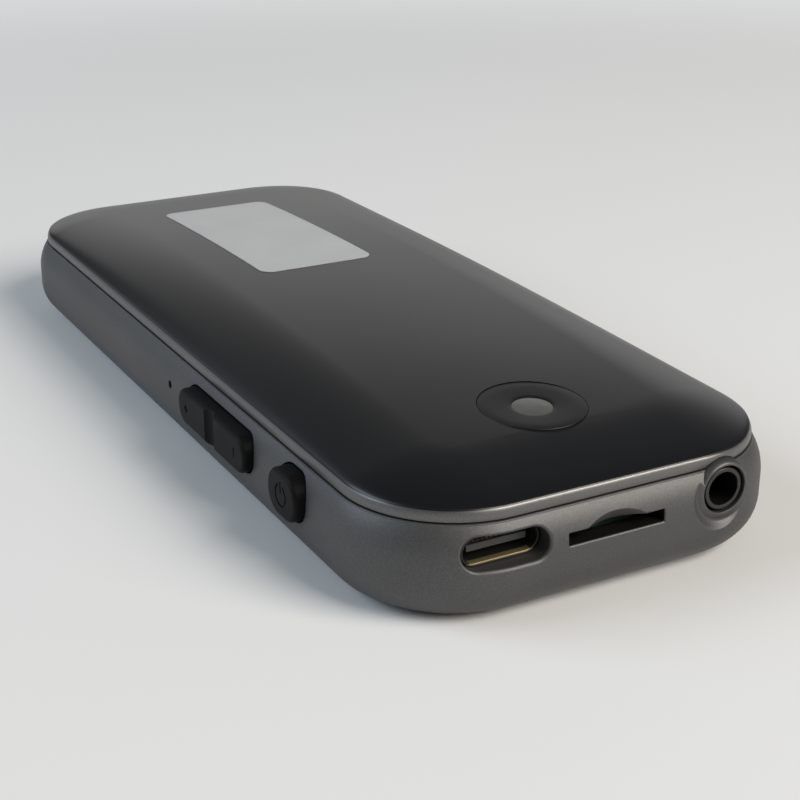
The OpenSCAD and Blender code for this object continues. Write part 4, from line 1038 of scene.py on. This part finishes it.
# %% USB-C shell
USB_SUNK, USB_LENGTH, SHELL_WALL = 1.9, 7.35, 0.3
SHELL_W, SHELL_H, SHELL_R = 8.94, 3.16, 1.57
TUBE_PROFILE = ((0, 0.12), (-0.02, 0.05), (-0.07, 0.01), (-0.13, 0), (-0.17, 0), (-0.23, 0.01),
                (-0.28, 0.05), (-SHELL_WALL, 0.12), (-SHELL_WALL, 0.75), (-SHELL_WALL, USB_LENGTH),
                (0, USB_LENGTH))
tube = bmesh.new()
rounded_face(tube, SHELL_W, SHELL_H, SHELL_R, USB_LENGTH, 16)
bmesh.ops.delete(tube, geom=tube.faces[:], context="FACES_ONLY")
edge = tube.edges[:]
for offset, depth in TUBE_PROFILE:
    edge = edges_of(bmesh.ops.extrude_edge_only(tube, edges=edge))
    for vert in {v for e in edge for v in e.verts}:
        spread(vert, (SHELL_W / 2 - SHELL_R, SHELL_H / 2 - SHELL_R), SHELL_R + offset)
        vert.co.z = depth
bmesh.ops.remove_doubles(tube, verts=tube.verts, dist=0.001)
tube_place = Matrix.Translation((USB_X, -END_Y + USB_SUNK, USB_Z)) @ ALONG_Y
bmesh.ops.transform(tube, matrix=tube_place, verts=tube.verts)
# Faces of the lower lip get the painted highlight, the rest of the tube the painted shade.
for face in tube.faces:
    middle = face.calc_center_median()
    face.material_index = int(middle.y < -END_Y + USB_SUNK + 0.6 and middle.z < USB_Z - 1.2)
finish_piece(tube, "usb_steel_shell", [port_steel_painted_shade, lip_painted_highlight],
             replaces=("usb_shell",), crease=50)

# %% [markdown]
# Where the CAD shape is right and only its edges are too sharp, the node is copied, its flat
# triangles are merged into whole faces, and the copy is softened.

# %% USB-C tongue and audio jack
def merged_copy(node):
    bm = bmesh.new()
    bm.from_mesh(frame["nodes"][node].data)
    bmesh.ops.remove_doubles(bm, verts=bm.verts, dist=0.000001)
    bmesh.ops.dissolve_limit(bm, angle_limit=math.radians(0.5), verts=bm.verts, edges=bm.edges)
    bmesh.ops.scale(bm, vec=(1 / MM, 1 / MM, 1 / MM), verts=bm.verts)
    return bm


soften(finish_piece(merged_copy("usb_tongue"), "usb_moulded_tongue", [tongue_black],
                    replaces=("usb_tongue",), crease=32), width=0.07, steps=2)
BORE_R = 1.9
jack = merged_copy("audio_jack")
# The bore's inner walls get the near-black finish as painted shade.
for face in jack.faces:
    x, y, z = face.calc_center_median()
    in_bore = math.hypot(x - JACK_X, z - JACK_Z) < BORE_R
    face.material_index = int(in_bore and abs(face.normal.y) < 0.5)
soften(finish_piece(jack, "jack_body", [jack_moulding, painted_shade_black],
                    replaces=("audio_jack",), crease=32), width=0.14, steps=3)

# %% [markdown]
# ## What the housing holds
# The parts that are normally out of sight keep their CAD shapes, because flat pressed and moulded
# parts are what they are. Each still gets the surface of its real material, so the model also
# reads well when it is opened or cut: a solder mask with its tracks, tin plate, foam, foil, film.

# %% Helper for dressing a CAD node
def dress(finish, *names):
    for name in names:
        node = frame["nodes"][name]
        if not node.material_slots:
            node.data.materials.append(finish)
        for slot in node.material_slots:
            slot.material = finish
    print(finish.name, "on", ", ".join(names))


dress(contact_gold, "usb_contacts", "card_contacts", "jack_terminals", "battery_tab")
dress(socket_black, "card_socket_base")

# %% [markdown]
# The screen side is one sheet of black-backed glass with a softly rounded edge. Polished glass
# shows nothing of itself but finger marks, which are patches where the polish is broken.

# %% Glass and display
glass_black, tree, bsdf = new_finish("glass_black", specular=0.55, coat=1.0, coat_roughness=0.02)
tone = drifting(tree, (0.0065, 0.0068, 0.0075), (0.004, 0.0042, 0.005), 30.0)
wire(tree, bsdf, {"Base Color": tone, "Roughness": rubbed_by_hand(tree, 55.0, 0.10, 0.03)})
soften(finish_piece(merged_copy("front_glass"), "screen_glass", [glass_black],
                    replaces=("front_glass",), crease=30), width=0.05, steps=2)

display_film = satin("display_film", (0.012, 0.013, 0.016), (0.009, 0.010, 0.013), 0.16, 0.10,
                     drift_scale=80.0, grain_scale=6000.0, grain_height=0.03, coat=0.5)
adhesive_black = satin("adhesive_black", (0.03, 0.03, 0.031), (0.02, 0.02, 0.021), 0.75, 0.6,
                       drift_scale=300.0, grain_height=0.4)
dress(display_film, "display_panel")
dress(adhesive_black, "glass_adhesive")

# %% [markdown]
# Foam is matt and full of cells, so its grain is coarse and deep. Rubber is close, but finer.

# %% Foam and rubber
cell_foam, tree, bsdf = new_finish("cell_foam", specular=0.2)
cells = add(tree, "TexVoronoi", {"Vector": object_coordinates(tree),
                                 "Scale": 2600.0}).outputs["Distance"]
tone = drifting(tree, (0.062, 0.062, 0.064), (0.040, 0.040, 0.042), 400.0)
wire(tree, bsdf, {"Base Color": tone, "Roughness": remap(tree, cells, 0, 0.6, 0.85, 0.98),
                  "Normal": tipped(tree, cells, 0.6, 0.00008)})
boot_rubber = satin("boot_rubber", (0.024, 0.024, 0.025), (0.017, 0.017, 0.018), 0.78, 0.66,
                    drift_scale=350.0, grain_scale=3500.0, grain_height=0.4)
dress(cell_foam, "display_foam", "camera_foam", "battery_foam")
dress(boot_rubber, "microphone_boot", "speaker_gasket")

# %% [markdown]
# The main board is glass fibre under green solder mask. The copper tracks below it show as slightly
# lighter lines, and they run square to each other, so a brick pattern with wide, thin joints
# stands for them.

# %% Board
solder_mask, tree, bsdf = new_finish("solder_mask", coat=0.3, coat_roughness=0.15)
tracks = add(tree, "TexBrick", {"Vector": object_coordinates(tree), "Scale": 320.0,
                                "Mortar Size": 0.035, "Brick Width": 1.7, "Row Height": 0.35},
             offset=0.37).outputs["Fac"]
tone = drifting(tree, (0.012, 0.105, 0.048), (0.008, 0.078, 0.036), 120.0)
wire(tree, bsdf, {"Base Color": mix_colours(tree, tracks, tone, (0.03, 0.17, 0.085, 1)),
                  "Roughness": rubbed_by_hand(tree, 150.0, 0.42, 0.3),
                  "Normal": tipped(tree, tracks, 0.4, 0.00003)})
dress(solder_mask, "main_board")

# %% [markdown]
# Metals inside are told apart by how they were made: the middle plate and bracket are rolled and
# show long lines, tin plate is brighter and softer, turned screws are darker steel.

# %% Inner metals
plate_metal = rolled_metal("plate_metal", (0.56, 0.57, 0.59), (0.48, 0.49, 0.51), 0.42, 0.32)
tin_plate = rolled_metal("tin_plate", (0.66, 0.67, 0.68), (0.57, 0.58, 0.60), 0.36, 0.26,
                         stretch=(300.0, 80.0, 300.0), height=0.1)
screw_steel = rolled_metal("screw_steel", (0.34, 0.35, 0.37), (0.26, 0.27, 0.29), 0.36, 0.27,
                           stretch=(1500.0, 1500.0, 300.0), height=0.2)
dress(plate_metal, "middle_plate", "key_bracket")
dress(tin_plate, "processor_shield", "radio_shield", "card_socket_cover", "power_switch",
      "volume_switches", "microphone")
dress(screw_steel, "plate_screws", "board_screws")

# %% [markdown]
# Plastics and films: black epoxy on chips, plugs and the loudspeaker, pale acetal on the switch
# plungers, amber polyimide with copper lines on the ribbons, and a laminated foil round the
# battery with a coarse, wrinkled grain all over.

# %% Plastics
chip_epoxy = satin("chip_epoxy", (0.022, 0.022, 0.024), (0.016, 0.016, 0.018), 0.6, 0.5,
                   drift_scale=400.0, grain_scale=4500.0, grain_height=0.35)
moulded_black = satin("moulded_black", (0.028, 0.028, 0.030), (0.020, 0.020, 0.022), 0.5, 0.4,
                      drift_scale=200.0, grain_scale=3500.0, grain_height=0.25)
pale_acetal = satin("pale_acetal", (0.70, 0.70, 0.67), (0.62, 0.62, 0.59), 0.5, 0.42,
                    drift_scale=500.0, grain_scale=3500.0, grain_height=0.15)
tape_white = satin("tape_white", (0.66, 0.64, 0.55), (0.56, 0.54, 0.46), 0.6, 0.5,
                   drift_scale=180.0, grain_scale=2200.0, grain_height=0.3)
dress(chip_epoxy, "board_chips")
dress(moulded_black, "board_connectors", "camera_module", "loudspeaker")
dress(pale_acetal, "power_plunger", "volume_up_plunger", "volume_down_plunger")
dress(tape_white, "battery_tape")

# %% [markdown]
# Bands of waves stand for the copper lines in the ribbons. A Map Range node narrows each wave to a
# line of lighter amber.

# %% Films and foil
def bands(tree, direction, scale):
    return add(tree, "TexWave", {"Vector": object_coordinates(tree), "Scale": scale},
               wave_type="BANDS", bands_direction=direction).outputs["Fac"]


amber_film, tree, bsdf = new_finish("amber_film", coat=0.4, coat_roughness=0.12)
lines = remap(tree, bands(tree, "X", 480.0), 0.55, 0.8, 0, 1)
tone = drifting(tree, (0.42, 0.19, 0.05), (0.33, 0.14, 0.035), 200.0)
wire(tree, bsdf, {"Base Color": mix_colours(tree, lines, tone, (0.62, 0.33, 0.12, 1)),
                  "Roughness": rubbed_by_hand(tree, 300.0, 0.4, 0.28)})
dress(amber_film, "display_flex", "camera_flex", "speaker_flex", "antenna_flex")

foil = satin("battery_foil", (0.30, 0.33, 0.37), (0.24, 0.27, 0.31), 0.38, 0.27, drift_scale=90.0,
             grain_scale=260.0, grain_height=0.6, metallic=0.8)
dress(foil, "battery")

# %% [markdown]
# The loudspeaker breathes through a woven mesh. Two bands of waves, one along and one up, give the
# threads, and their product gives the bump.

# %% Woven mesh
woven, tree, bsdf = new_finish("woven_mesh", specular=0.3)
cross = add(tree, "Math", {0: bands(tree, "X", 900.0), 1: bands(tree, "Z", 900.0)},
            operation="MULTIPLY").outputs[0]
tone = mix_colours(tree, cross, (0.012, 0.012, 0.013, 1), (0.05, 0.05, 0.052, 1))
wire(tree, bsdf, {"Base Color": tone, "Roughness": remap(tree, cross, 0, 1, 0.85, 0.6),
                  "Normal": tipped(tree, cross, 0.7, 0.00006)})
dress(woven, "speaker_mesh")
